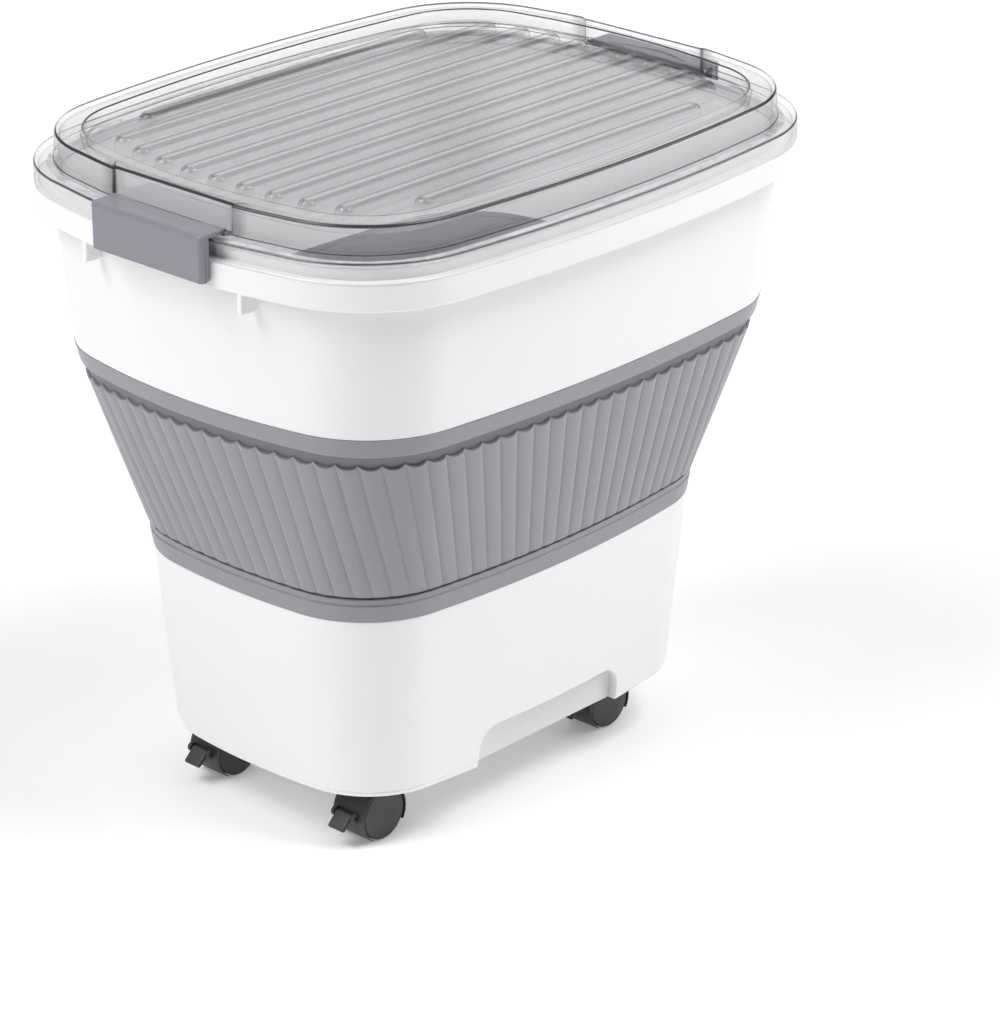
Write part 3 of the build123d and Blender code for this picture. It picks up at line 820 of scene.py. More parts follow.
def moulded(name, colour, roughness, grain, depth, mottle, sheen=None):
    """Moulded plastic or rubber: a fine grain, a slight mottle in colour and gloss, and painted shade in
    marked recesses.
    """
    finish = Finish(name)
    cloud = finish.noise(scale=9.0, detail=4.0)
    fine = finish.noise(scale=grain, detail=2.0)
    scuff = finish.noise(scale=160.0, detail=5.0, roughness=0.7)
    mixed = cloud * 0.7 + fine * 0.3
    tone = finish.blended(mixed, toned(colour, 1.0 - mottle), toned(colour, 1.0 + mottle))
    # Painted shade: marked vertices in recesses are darkened towards the painted shade tone
    tone = finish.blended(finish.painted_shade_mark(), tone, toned(colour, PAINTED_SHADE_TONE))
    relief = {"Strength": 0.35, "Distance": depth * MM, "Height": fine * 0.8 + scuff * 0.2}
    sockets = {
        "Base Color": tone,
        "Roughness": (scuff - 0.5) * 0.16 + roughness,
        "Normal": finish.add("ShaderNodeBump", sockets=relief),
        "IOR": 1.47,
    }
    return finish.shown(finish.plastic(sockets | (sheen or {})))


def clear(name, colour):
    """Clear plastic: light passes through, edges turn dark side on, marked edges get painted dark lines, and
    the surface mirrors a little.
    """
    finish = Finish(name)
    side_on = finish.add("ShaderNodeLayerWeight", sockets={"Blend": 0.5}, out="Facing")
    painted_line = finish.painted_shade_mark()
    haze = finish.noise(scale=60.0, detail=4.0)
    passing = finish.add("ShaderNodeBsdfTransparent", sockets={"Color": toned(colour, 1.0)})
    edge = finish.plastic({"Base Color": PAINTED_EDGE_TINT, "Roughness": haze * 0.1 + 0.2, "IOR": 1.5})
    polish = {"Color": WHITE, "Roughness": haze * 0.04 + 0.04}
    gloss = finish.add("ShaderNodeBsdfGlossy", sockets=polish)
    mirror_share = side_on**5.0 * 0.6 + 0.05
    # Painted dark lines from the marks, and edges darkened side on
    dark_share = painted_line * 1.5 + side_on**8.0 * 0.75
    mirroring = finish.add("ShaderNodeMixShader", sockets={0: mirror_share, 1: passing, 2: gloss})
    edged = finish.add("ShaderNodeMixShader", sockets={0: dark_share, 1: mirroring, 2: edge})
    return finish.shown(edged)


def metal(name, colour):
    """Turned steel with fine lines round it."""
    finish = Finish(name)
    lines = finish.noise(scale=700.0, detail=3.0)
    tone = finish.blended(lines, toned(colour, 0.92), toned(colour, 1.08))
    sockets = {"Base Color": tone, "Metallic": 1.0, "Roughness": lines * 0.2 + 0.22}
    return finish.shown(finish.plastic(sockets))


def pale_floor(name, colour):
    """A pale matt floor that glows a little under the bin and more towards its far edge."""
    finish = Finish(name)
    cloud = finish.noise(scale=30.0, detail=2.0)
    away = finish.add("ShaderNodeVectorMath", {"operation": "LENGTH"}, {0: finish.place}, out="Value")
    span = {"Value": away, "From Min": FLOOR_NEAR, "From Max": FLOOR_FAR}
    distance = finish.add("ShaderNodeMapRange", sockets=span)
    sockets = {
        "Base Color": finish.blended(cloud, toned(colour, 0.996), toned(colour, 1.004)),
        "Roughness": 0.8,
        "Emission Color": finish.blended(distance, FLOOR_NEAR_GLOW, WHITE),
        "Emission Strength": FLOOR_GLOW,
    }
    return finish.shown(finish.plastic(sockets))


# The finish of each slot: name, colour setting, maker and values (roughness, grain, depth, mottle, sheen)
FINISHES = {
    "white_shell": ("White moulded shell", "shell", moulded, (0.42, 1400.0, 0.02, 0.012)),
    "grey_rubber": ("Grey soft rubber", "rubber", moulded, (0.55, 1800.0, 0.03, 0.035, RUBBER_SHEEN)),
    "grey_latch": ("Grey satin latch", "latch", moulded, (0.36, 1500.0, 0.015, 0.025)),
    "caster_plastic": ("Dark caster nylon", "caster", moulded, (0.45, 1300.0, 0.03, 0.08)),
    "seal_rubber": ("Pale seal rubber", "seal", moulded, (0.55, 1500.0, 0.02, 0.03)),
    "clear_lid": ("Clear lid plastic", "lid", clear, ()),
    "steel": ("Bright steel", "metal", metal, ()),
    "floor": ("Pale studio floor", "floor", pale_floor, ()),
}


def finish_of(slot):
    """The finish of a slot, made the first time that it is asked for."""
    name, part, maker, values = FINISHES[slot]
    colour = getattr(bpy.context.scene.food_bin_colours, part)
    return bpy.data.materials.get(name) or maker(name, colour, *values)


# Lower bin


def grip_outline(spread):
    """Points (along, height) round a finger grip from its left foot to its right, spread outwards."""
    half = [(GRIP_HALF_LENGTH + spread, height) for height in GRIP_ROWS]
    radius = GRIP_CORNER + spread
    for angle in spaced(0.0, SQUARE_TURN, 2 * GRIP_ARC_STEPS)[1:]:
        half.append((GRIP_STRAIGHT + radius * cos(angle), GRIP_TOP - GRIP_CORNER + radius * sin(angle)))
    half += [(along, GRIP_TOP + spread) for along in GRIP_TOP_STOPS]
    return [(-along, height) for along, height in half] + half[-2::-1]


def foot_inset(height):
    """How far the lower bin's outside is moved in: the wall, and a rounded lip at its foot."""
    if height >= FOOT.height:
        from_groove = abs(height - FOOT.height - FOOT_GROOVE_STEP) / FOOT_GROOVE_STEP
        return PROUD + FOOT_GROOVE * max(0.0, 1 - from_groove)
    share = (FOOT.height - height) / (FOOT.height - FOOT_EDGE)
    return PROUD + (FOOT_INSET - PROUD) * share**2


def bin_side(along, height):
    """How far out a long side of the lower bin stands."""
    return Bows(foot_wall(height), foot_inset(height)).side_at(along)


def grip_face(height):
    """How far out the face of a finger grip stands, leaning out towards its top."""
    return GRIP_FACE + GRIP_LEAN * (height - FOOT_EDGE) / (GRIP_TOP - FOOT_EDGE)


def nearest(mesh, spot):
    """The vertex of a mesh that is nearest to a spot."""
    return min(mesh.verts, key=lambda vertex: (vertex.co - spot).length_squared)


def cut_grip(mesh, mark, side, edge_round):
    """Opens a window in a long side and fills it with a finger grip that is rounded into the wall, with
    painted shade on its face.
    """
    inside = []
    for face in mesh.faces:
        middle = face.calc_center_median()
        within = abs(middle.x) < WINDOW_HALF_LENGTH and FOOT_EDGE < middle.z < WINDOW_TOP
        if within and side * middle.y > bin_side(middle.x, middle.z) - WALL / 2:
            inside.append(face)
    window = [(-WINDOW_HALF_LENGTH, height) for height in WINDOW_ROWS]
    window += [(-stop, WINDOW_TOP) for stop in GRIP_STOPS[1:]]
    window += [(-along, height) for along, height in window[-2::-1]]
    line = [nearest(mesh, Vector((x, side * bin_side(x, height), height))) for x, height in window]
    bmesh.ops.delete(mesh, geom=inside, context="FACES")
    for angle in spaced(0.0, SQUARE_TURN, GRIP_ROUND_STEPS):
        sunk = edge_round * (1 - cos(angle))
        outline = grip_outline(edge_round * (1 - sin(angle)))
        points = [Vector((x, side * (bin_side(x, height) - sunk), height)) for x, height in outline]
        line = drawn_on(mesh, line, points, closed=False)
    points = [Vector((x, side * grip_face(height), height)) for x, height in grip_outline(0.0)]
    line = drawn_on(mesh, line, points, closed=False)
    # Painted shade on the grip's face
    paint_shade([line], [GRIP_PAINTED_SHADE], mark)
    bmesh.ops.contextual_create(mesh, geom=line)


def under_outline(height):
    """The wall's inside under the floor, pushed in flat behind the finger grips."""
    points = ring(foot_wall(height), INSIDE, side_stops=GRIP_STOPS)
    limit = grip_face(height) - GRIP_WALL
    for point in points:
        if abs(point.x) < WINDOW_HALF_LENGTH - WINDOW_MARGIN and abs(point.y) > limit:
            point.y = limit if point.y > 0 else -limit
    return points


class FOODBIN_OT_bin(bpy.types.Operator):
    """Builds the lower bin with its raised floor, finger grips and caster sockets"""

    bl_idname = "food_bin.lower_bin"
    bl_label = "Lower bin"

    def execute(self, context):
        mesh = bmesh.new()
        mark = mesh.verts.layers.float.new(PAINTED_SHADE_MARK)
        self.build_wall(mesh)
        for side in (-1, 1):
            cut_grip(mesh, mark, side, context.scene.food_bin_sizes.grip_round / MM)
        under = skin(mesh, [under_outline(height) for height in UNDER_ROWS], ends="open")
        capped(mesh, under[-1])
        bmesh.ops.triangle_fill(mesh, use_beauty=True, edges=open_edges(mesh, FOOT_EDGE))
        self.build_sockets(mesh)
        self.build_under_ribs(mesh)
        finished(mesh, "bin_shell", "base", "base_bin", "white_shell")
        return {"FINISHED"}

    def build_wall(self, mesh):
        """Builds the floor and both sides of the wall, open at the foot."""
        stops = {"side_stops": GRIP_STOPS}
        inner = [
            (INSIDE + 2 * FLOOR_ROUND, FLOOR_TOP, 0.0),
            (INSIDE, FLOOR_TOP, FLOOR_ROUND),
            (INSIDE, BIN_TOP.height, 0.0),
        ]
        rim = [
            (INSIDE, BIN_TOP.height, 0.0),
            (INSIDE, BIN_RIM, BIN_RIM_ROUND),
            (BAND_THICKNESS, BIN_RIM, BIN_RIM_ROUND),
            (BAND_THICKNESS, BIN_TOP.height, 0.0),
        ]
        rings = rings_along(foot_wall, inner, steps=6, **stops)
        rings += rings_along(bin_band, rim, steps=3, **stops)[1:]
        rings.append(ring(BIN_TOP, PROUD, **stops))
        for height in (BIN_TOP_ROW,) + WINDOW_ROWS[::-1]:
            rings.append(ring(foot_wall(height), foot_inset(height), **stops))
        lines = skin(mesh, rings, ends="open")
        capped(mesh, lines[0])

    def build_sockets(self, mesh):
        """Builds the socket of each caster's stem."""
        profile = [
            (0.0, UNDER_TOP),
            (SOCKET_RADIUS, UNDER_TOP),
            (SOCKET_RADIUS, FOOT_EDGE + SOCKET_EASE),
            (SOCKET_RADIUS - SOCKET_EASE, FOOT_EDGE),
            (SOCKET_BORE + SOCKET_BORE_EASE, FOOT_EDGE),
            (SOCKET_BORE, FOOT_EDGE + SOCKET_BORE_EASE),
            (SOCKET_BORE, SOCKET_TOP),
            (0.0, SOCKET_TOP),
        ]
        for spot in STEM_SPOTS.values():
            turned_upright(mesh, spot, profile)

    def build_under_ribs(self, mesh):
        """Builds the crossing ribs under the floor."""
        half = UNDER_RIB_THICKNESS / 2
        reach = Bows(foot_wall(UNDER_RIB_LOW), WALL)
        for y in (-STEM_Y, STEM_Y):
            low = (-UNDER_RIB_HALF_LENGTH, y - half, UNDER_RIB_LOW)
            block(mesh, low, (UNDER_RIB_HALF_LENGTH, y + half, UNDER_TOP), UNDER_RIB_ROUND)
        for x in (-STEM_X, 0.0, STEM_X):
            end = min(reach.side_at(x), grip_face(UNDER_RIB_LOW) - GRIP_WALL + UNDER_RIB_SINK)
            block(mesh, (x - half, -end, UNDER_RIB_LOW), (x + half, end, UNDER_TOP), UNDER_RIB_ROUND)


# Collars and folding wall


class FOODBIN_OT_collars(bpy.types.Operator):
    """Builds the soft band at each end of the folding wall"""

    bl_idname = "food_bin.collars"
    bl_label = "Collars"

    def execute(self, context):
        lower = [
            (COLLAR_BOND, BIN_TOP.height, 0.0),
            (0.0, BIN_TOP.height, 0.7),
            (0.0, BEAD_TOP, 0.8),
            (GROOVE_DEPTH, GROOVE_FLOOR, 0.25),
            (HEEL_INSET, GROOVE_TOP, 0.5),
            (HEEL_INSET, HINGE_LOW.height, 0.8),
            (INSIDE, HINGE_LOW.height, 0.5),
            (INSIDE, BIN_RIM, 0.0),
            (COLLAR_BOND, BIN_RIM, 0.0),
        ]
        upper = [
            (COLLAR_BOND, FRAME_RIM_LOW, 0.0),
            (INSIDE, FRAME_RIM_LOW, 0.0),
            (INSIDE, HINGE_HIGH.height, 0.5),
            (0.0, HINGE_HIGH.height, 1.0),
            (0.0, FRAME_LOW.height, 0.7),
            (COLLAR_BOND, FRAME_LOW.height, 0.0),
        ]
        for name, body, band, corners in (
            ("lower", "base", bin_band, lower),
            ("upper", "frame", frame_band, upper),
        ):
            mesh = bmesh.new()
            skin(mesh, rings_along(band, corners), ends="joined")
            finished(mesh, f"collar_{name}", body, f"{name}_collar", "grey_rubber")
        return {"FINISHED"}


def fold_spot(height, fraction, inset):
    """A point of the folding wall at a share of the way round it, moved in from the cone."""
    bows = Bows(fold_wall(height))
    quarter_run = sum(bows.runs)
    run = (fraction * 4 * quarter_run - bows.runs[0]) % (4 * quarter_run)
    turn = int(run / quarter_run)
    rest = run - turn * quarter_run
    spot, outward = bows.at(rest if turn % 2 == 0 else quarter_run - rest)
    spot = spot - outward * inset
    across = spot.x if turn in (0, 3) else -spot.x
    along = spot.y if turn in (0, 1) else -spot.y
    return Vector((across, along, height))


class FOODBIN_OT_folding_wall(bpy.types.Operator):
    """Builds the soft fluted wall upright at its full height; on the bin it folds as the frame comes down"""

    bl_idname = "food_bin.folding_wall"
    bl_label = "Folding wall"

    def execute(self, context):
        sizes = context.scene.food_bin_sizes
        bulge = sizes.flute_bulge / MM
        dip = sizes.flute_dip / MM
        columns = []
        for flute in range(sizes.flute_count):
            columns += [((flute + (stop + 1) / 2) / sizes.flute_count, stop) for stop in FLUTE_STOPS]
        low = FLUTE_FOOT_ROWS[-1][0]
        climb = spaced(0.0, 1.0, FLUTE_ROWS)[1:]
        rows = FLUTE_FOOT_ROWS + [(low + share * (FLUTE_HEAD - low), 1.0, share, 0.0) for share in climb]
        rows += FLUTE_HEAD_ROWS
        rings = []
        inner = FOLD_INSET + FOLD_THICKNESS
        for height in FOLD_INNER_ROWS:
            rings.append([fold_spot(height, fraction, inner) for fraction, stop in columns])
        for height, standing, dipping, shade in rows:
            points = []
            for fraction, stop in columns:
                crest = 1 - abs(stop) ** FLUTE_CREST_POWER
                inset = FOLD_INSET - standing * (FOLD_INSET - bulge + bulge * crest)
                points.append(fold_spot(height - dipping * dip * (1 - stop**2), fraction, inset))
            rings.append(points)
        mesh = bmesh.new()
        mark = mesh.verts.layers.float.new(PAINTED_SHADE_MARK)
        lines = skin(mesh, rings, ends="joined")
        # Painted shade on the strips above and below the flutes
        paint_shade(lines[-len(rows) :], [row[-1] for row in rows], mark)
        wall = finished(mesh, "fluted_wall", None, "folding_wall", "grey_rubber", sharp=40.0)
        start = (0.0, 0.0, HINGE_LOW.height * MM)
        end = (0.0, 0.0, HINGE_HIGH.height * MM)
        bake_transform(wall)
        return {"FINISHED"}


# Upper frame


class FOODBIN_OT_frame(bpy.types.Operator):
    """Builds the upper frame with its flange, hanging lip, fins and channel ribs"""

    bl_idname = "food_bin.upper_frame"
    bl_label = "Upper frame"

    def execute(self, context):
        mesh = bmesh.new()
        inner = [
            (INSIDE, FRAME_RIM_LOW, 0.0),
            (INSIDE, FRAME_LOW.height, 0.0),
            (INSIDE, RIM_TOP.height, 1.0),
            (PROUD, RIM_TOP.height, 1.0),
            (PROUD, FLANGE_TOP, 0.0),
        ]
        edge = [
            (DECK_REACH, FLANGE_TOP, 0.0),
            (0.0, FLANGE_TOP, 1.0),
            (0.0, FLANGE_LOW, 1.2),
            (FLANGE_THICKNESS, FLANGE_LOW, 1.0),
            (FLANGE_THICKNESS, DECK_UNDER, 0.0),
        ]
        outer = [
            (PROUD, DECK_UNDER, 0.0),
            (PROUD, FRAME_LOW.height + 0.3, 0.0),
            (BAND_THICKNESS, FRAME_LOW.height + 0.1, 0.0),
            (BAND_THICKNESS, FRAME_RIM_LOW, 0.0),
        ]
        rings = rings_along(frame_wall, inner)
        rings += rings_along(flange_edge, edge)
        rings += rings_along(frame_wall, outer)
        skin(mesh, rings, ends="joined")
        top = DECK_UNDER + DECK_SINK
        half = FIN_THICKNESS / 2
        root = Bows(frame_wall(FIN_LOW), FIN_ROOT).end_at(FIN_OFFSET)
        for y in (-FIN_OFFSET, FIN_OFFSET):
            for end in (-1, 1):
                block(mesh, (end * root, y - half, FIN_LOW), (end * FIN_REACH, y + half, top), FIN_ROUND)
        half = CHANNEL_RIB_THICKNESS / 2
        for x in CHANNEL_RIB_OFFSETS:
            root = Bows(frame_wall(DECK_UNDER), CHANNEL_RIB_ROOT).side_at(x)
            tip = Bows(FLANGE, CHANNEL_RIB_TIP).side_at(x)
            for side in (-1, 1):
                low = (x - half, side * root, FLANGE_LOW + 1.0)
                block(mesh, low, (x + half, side * tip, top), CHANNEL_RIB_ROUND)
        finished(mesh, "frame_shell", "frame", "upper_frame", "white_shell")
        return {"FINISHED"}


# Lid


def dome_ring(height, inset):
    """The dome's outline with a flat recess for the latch in each end."""
    bows = Bows(dome_wall(height), inset)
    face = RECESS_FACE - inset
    edge = RECESS_HALF_WIDTH + inset
    quarter = [(face, stop) for stop in RECESS_STOPS]
    quarter += [
        (face, edge - RECESS_ROUND),
        (face + RECESS_ROUND, edge),
        (bows.end_at(edge) - RECESS_LIP, edge),
        (bows.end_at(edge + RECESS_LIP), edge + RECESS_LIP),
        (bows.end_at(RECESS_OUTSIDE), RECESS_OUTSIDE),
    ]
    return mirrored_round(quarter + bows.past_end(), height)


def lid_ring(wall):
    """The maker of one wall's outlines in the lid, with stops at the latch recesses."""
    return lambda height, inset: ring(wall(height), inset, end_stops=LID_END_STOPS)


def slot_ring(half_length, half_width, across, height, steps=9):
    """A long outline with round ends, across the bin by some distance."""
    straight = half_length - half_width
    turns = spaced(0.0, SQUARE_TURN, steps)
    quarter = [(straight + half_width * cos(angle), half_width * sin(angle)) for angle in turns]
    quarter.append((0.0, half_width))
    return [point + Vector((0.0, across, 0.0)) for point in mirrored_round(quarter, height)]


class FOODBIN_OT_lid(bpy.types.Operator):
    """Builds the clear lid: skirt, dome with latch recesses, sunk tray, ribs and hinge lugs"""

    bl_idname = "food_bin.lid"
    bl_label = "Lid"

    def execute(self, context):
        sizes = context.scene.food_bin_sizes
        mesh = bmesh.new()
        mark = mesh.verts.layers.float.new(PAINTED_SHADE_MARK)
        self.build_shell(mesh, mark, sizes.lid_round / MM)
        for row in range(1 - len(RIB_HALF_LENGTHS), len(RIB_HALF_LENGTHS)):
            self.build_rib(mesh, mark, row, sizes)
        bmesh.ops.triangle_fill(mesh, use_beauty=True, edges=open_edges(mesh, TRAY_FLOOR))
        for end in (-1, 1):
            for side in (-1, 1):
                centre = Vector((end * HINGE_X, side * LUG_OFFSET, HINGE_Z))
                turned_across(mesh, centre, LUG_PROFILE, steps=24)
        finished(mesh, "lid_shell", "lid", "lid", "clear_lid", sharp=28.0)
        return {"FINISHED"}

    def build_shell(self, mesh, mark, edge_round):
        """Builds the lid's walls from the tray out, down and back under, open at the tray's floor, with
        painted dark lines at its rounded edges.
        """
        # Profiles: inset, height, radius, and the painted shade of the dark line at each corner
        tray = [
            (3.5, TRAY_FLOOR, 0.0, 0.0),
            (0.0, TRAY_FLOOR, 2.0, 0.25),
            (0.0, TRAY.height, 1.2, 0.8),
            (-TRAY_LAP, TRAY.height, 0.0, 0.0),
        ]
        dome = [
            (TRAY_LAP, DOME_TOP.height, 0.0, 0.0),
            (0.0, DOME_TOP.height, edge_round, 1.0),
            (0.0, DOME_FOOT.height + DOME_STEP, 0.0, DOME_WALL_PAINTED_SHADE),
            (0.0, DOME_FOOT.height, 0.0, 0.8),
            (-DOME_STEP, DOME_FOOT.height, 0.0, 0.0),
        ]
        skirt = [
            (LID_LAP, LID_FLANGE_TOP, 0.0, 0.0),
            (0.0, LID_FLANGE_TOP, edge_round, 0.6),
            (0.0, SKIRT_LOW, 0.5, 0.5),
            (LID_WALL, SKIRT_LOW, 0.5, 0.0),
            (LID_WALL, LID_FLANGE_LOW, 0.8, 0.0),
            (LID_LAP, LID_FLANGE_LOW, 0.0, 0.0),
        ]
        plug = [
            (PLUG_OUTSIDE, LID_FLANGE_LOW, 0.0, 0.0),
            (PLUG_OUTSIDE, PLUG_LOW, 0.6, 0.3),
            (PLUG_INSIDE, PLUG_LOW, 0.6, 0.0),
            (PLUG_INSIDE, LID_FLANGE_LOW, 0.0, 0.0),
        ]
        under = [
            (LID_WALL, LID_FLANGE_TOP, 0.0, 0.0),
            (LID_WALL, CEILING, 0.8, 0.3),
            (7.0, CEILING, 0.0, 0.0),
        ]
        tray_back = [
            (-TRAY_LAP, CEILING, 0.0, 0.0),
            (-LID_WALL, CEILING, 0.6, 0.0),
            (-LID_WALL, TRAY_FLOOR - LID_WALL, 2.5, 0.0),
            (LID_LAP, TRAY_FLOOR - LID_WALL, 0.0, 0.0),
        ]
        rings = []
        shades = []
        starts = []
        for outline, corners, steps in (
            (lid_ring(tray_wall), tray, 4),
            (dome_ring, dome, 5),
            (lid_ring(flange_edge), skirt, 4),
            (lid_ring(plug_wall), plug, 4),
            (dome_ring, under, 4),
            (lid_ring(tray_wall), tray_back, 4),
        ):
            starts.append(len(rings))
            rings += [outline(height, inset) for inset, height in eased(corners, steps)]
            shades += shades_along(corners, steps)
        lines = skin(mesh, rings, ends="open")
        capped(mesh, lines[-1])
        paint_shade(lines, shades, mark)
        self.paint_recess_lines(lines[starts[1] + 1 : starts[2] - 2], mark)

    def paint_recess_lines(self, lines, mark):
        """Paints dark lines on the upright edges of the latch recesses."""
        for line in lines:
            half = len(line) // 2
            for column, shade in RECESS_EDGE_PAINTED_SHADES.items():
                for index in (column, half - column, half + column, -column):
                    line[index][mark] = max(shade, line[index][mark])

    def build_rib(self, mesh, mark, row, sizes):
        """Builds one rib, open at its foot, with a painted dark line along its crest and a mark on each tip.
        """
        half_length = RIB_HALF_LENGTHS[abs(row)]
        half_width = sizes.rib_width / MM / 2
        rise = sizes.rib_height / MM
        crest_round = min(RIB_ROUND, half_width - RIB_LAND, rise - RIB_LAND)
        corners = [
            (-0.4, TRAY_FLOOR, 0.0, 0.0),
            (0.0, TRAY_FLOOR, 0.0, 0.0),
            (0.0, TRAY_FLOOR + rise, crest_round, RIB_CREST_PAINTED_SHADE),
            (crest_round + 0.6, TRAY_FLOOR + rise, 0.0, 0.0),
        ]
        rings = [
            slot_ring(half_length - inset, half_width - inset, row * RIB_PITCH, height)
            for inset, height in eased(corners, RIB_STEPS)
        ]
        lines = skin(mesh, rings, ends="open")
        capped(mesh, lines[-1])
        paint_shade(lines, shades_along(corners, RIB_STEPS), mark)
        for tip in (0, len(lines[0]) // 2):
            lines[RIB_TIP_RING][tip][mark] = RIB_TIP_SHADE


# Latches


def end_fall(y, radius):
    """How far a latch's rounded end has fallen away at a distance along it."""
    past = max(0.0, abs(y) - (LATCH_HALF_WIDTH - radius))
    return radius - sqrt(max(0.0, radius**2 - past**2))


def latch_section(y):
    """A latch's outline across its hinge at a distance along it, its end rounded and its top scooped."""
    pulled = end_fall(y, LATCH_ROUND)
    face = LATCH_FACE - pulled
    top = LATCH_TOP - end_fall(y, LATCH_END_ROUND)
    share = min(1.0, abs(y) / SCOOP_HALF_WIDTH)
    ramp = min(1.0, SCOOP_STEEPNESS * (1 - share))
    scoop_edge = HINGE_X + 0.8 + (SCOOP_REACH - 0.8) * (1 - share**2)
    corners = [
        (HINGE_X + SCOOP_REACH + 1.0, top, 0.0),
        (face, top, max(0.3, LATCH_ROUND - pulled)),
        (face, LATCH_FOOT, 0.6),
        (LATCH_BACK, LATCH_FOOT, 0.4),
        (LATCH_BACK - BARB_REACH, BARB_LOW, 0.4),
        (LATCH_BACK - BARB_REACH, BARB_HIGH, 0.5),
        (LATCH_BACK, BARB_TOP, 0.3),
        (LATCH_BACK, LATCH_UNDER, 1.2),
        (HINGE_X + KNUCKLE_REACH + 1.0, LATCH_UNDER, 0.8),
        (HINGE_X + KNUCKLE_REACH, KNUCKLE_LOW, 0.5),
        (HINGE_X - KNUCKLE_REACH, KNUCKLE_LOW, 1.1),
        (HINGE_X - KNUCKLE_REACH - 0.45, top - SCOOP_DEPTH * ramp, 1.1),
        (scoop_edge - 0.35, top - SCOOP_STEP * ramp, 0.0),
        (scoop_edge, top, 0.0),
    ]
    outline = eased(corners + corners[:1], steps=5)[:-1]
    return [Vector((across, y, height)) for across, height in outline]


class FOODBIN_OT_latches(bpy.types.Operator):
    """Builds the two flap latches"""

    bl_idname = "food_bin.latches"
    bl_label = "Latches"

    def execute(self, context):
        turns = spaced(SQUARE_TURN, 0.0, LATCH_ROUND_STEPS)
        half = [LATCH_HALF_WIDTH - LATCH_ROUND * (1 - sin(angle)) for angle in turns]
        half.append(LATCH_SHOULDER)
        half += [SCOOP_HALF_WIDTH * share for share in SCOOP_SHARES]
        stations = [-y for y in half] + [0.0] + half[::-1]
        for name, side in (("left", -1), ("right", 1)):
            mesh = bmesh.new()
            skin(mesh, [latch_section(y) for y in stations])
            for end in (-1, 1):
                outer = (CHEEK_REACH, end * (LATCH_HALF_WIDTH - CHEEK_INSET), LATCH_FOOT + CHEEK_ROUND)
                inner = (LATCH_FACE - 2.5, end * (LATCH_HALF_WIDTH - CHEEK_THICKNESS), CHEEK_TOP)
                block(mesh, outer, inner, CHEEK_ROUND)
            if side < 0:
                bmesh.ops.scale(mesh, vec=(-1.0, 1.0, 1.0), verts=mesh.verts)
            node = f"latch_{name}"
            finished(mesh, f"latch_flap_{name}", node, node, "grey_latch", sharp=40.0)
        return {"FINISHED"}


# Casters


def wheel_plane(spot, point=(0.0, 0.0), y=0.0):
    """A point of a wheel's own plane (along, up from the axle), set at a stem's spot."""
    return Vector((spot[0] - TRAIL + point[0], spot[1] + y, WHEEL_RADIUS + point[1]))


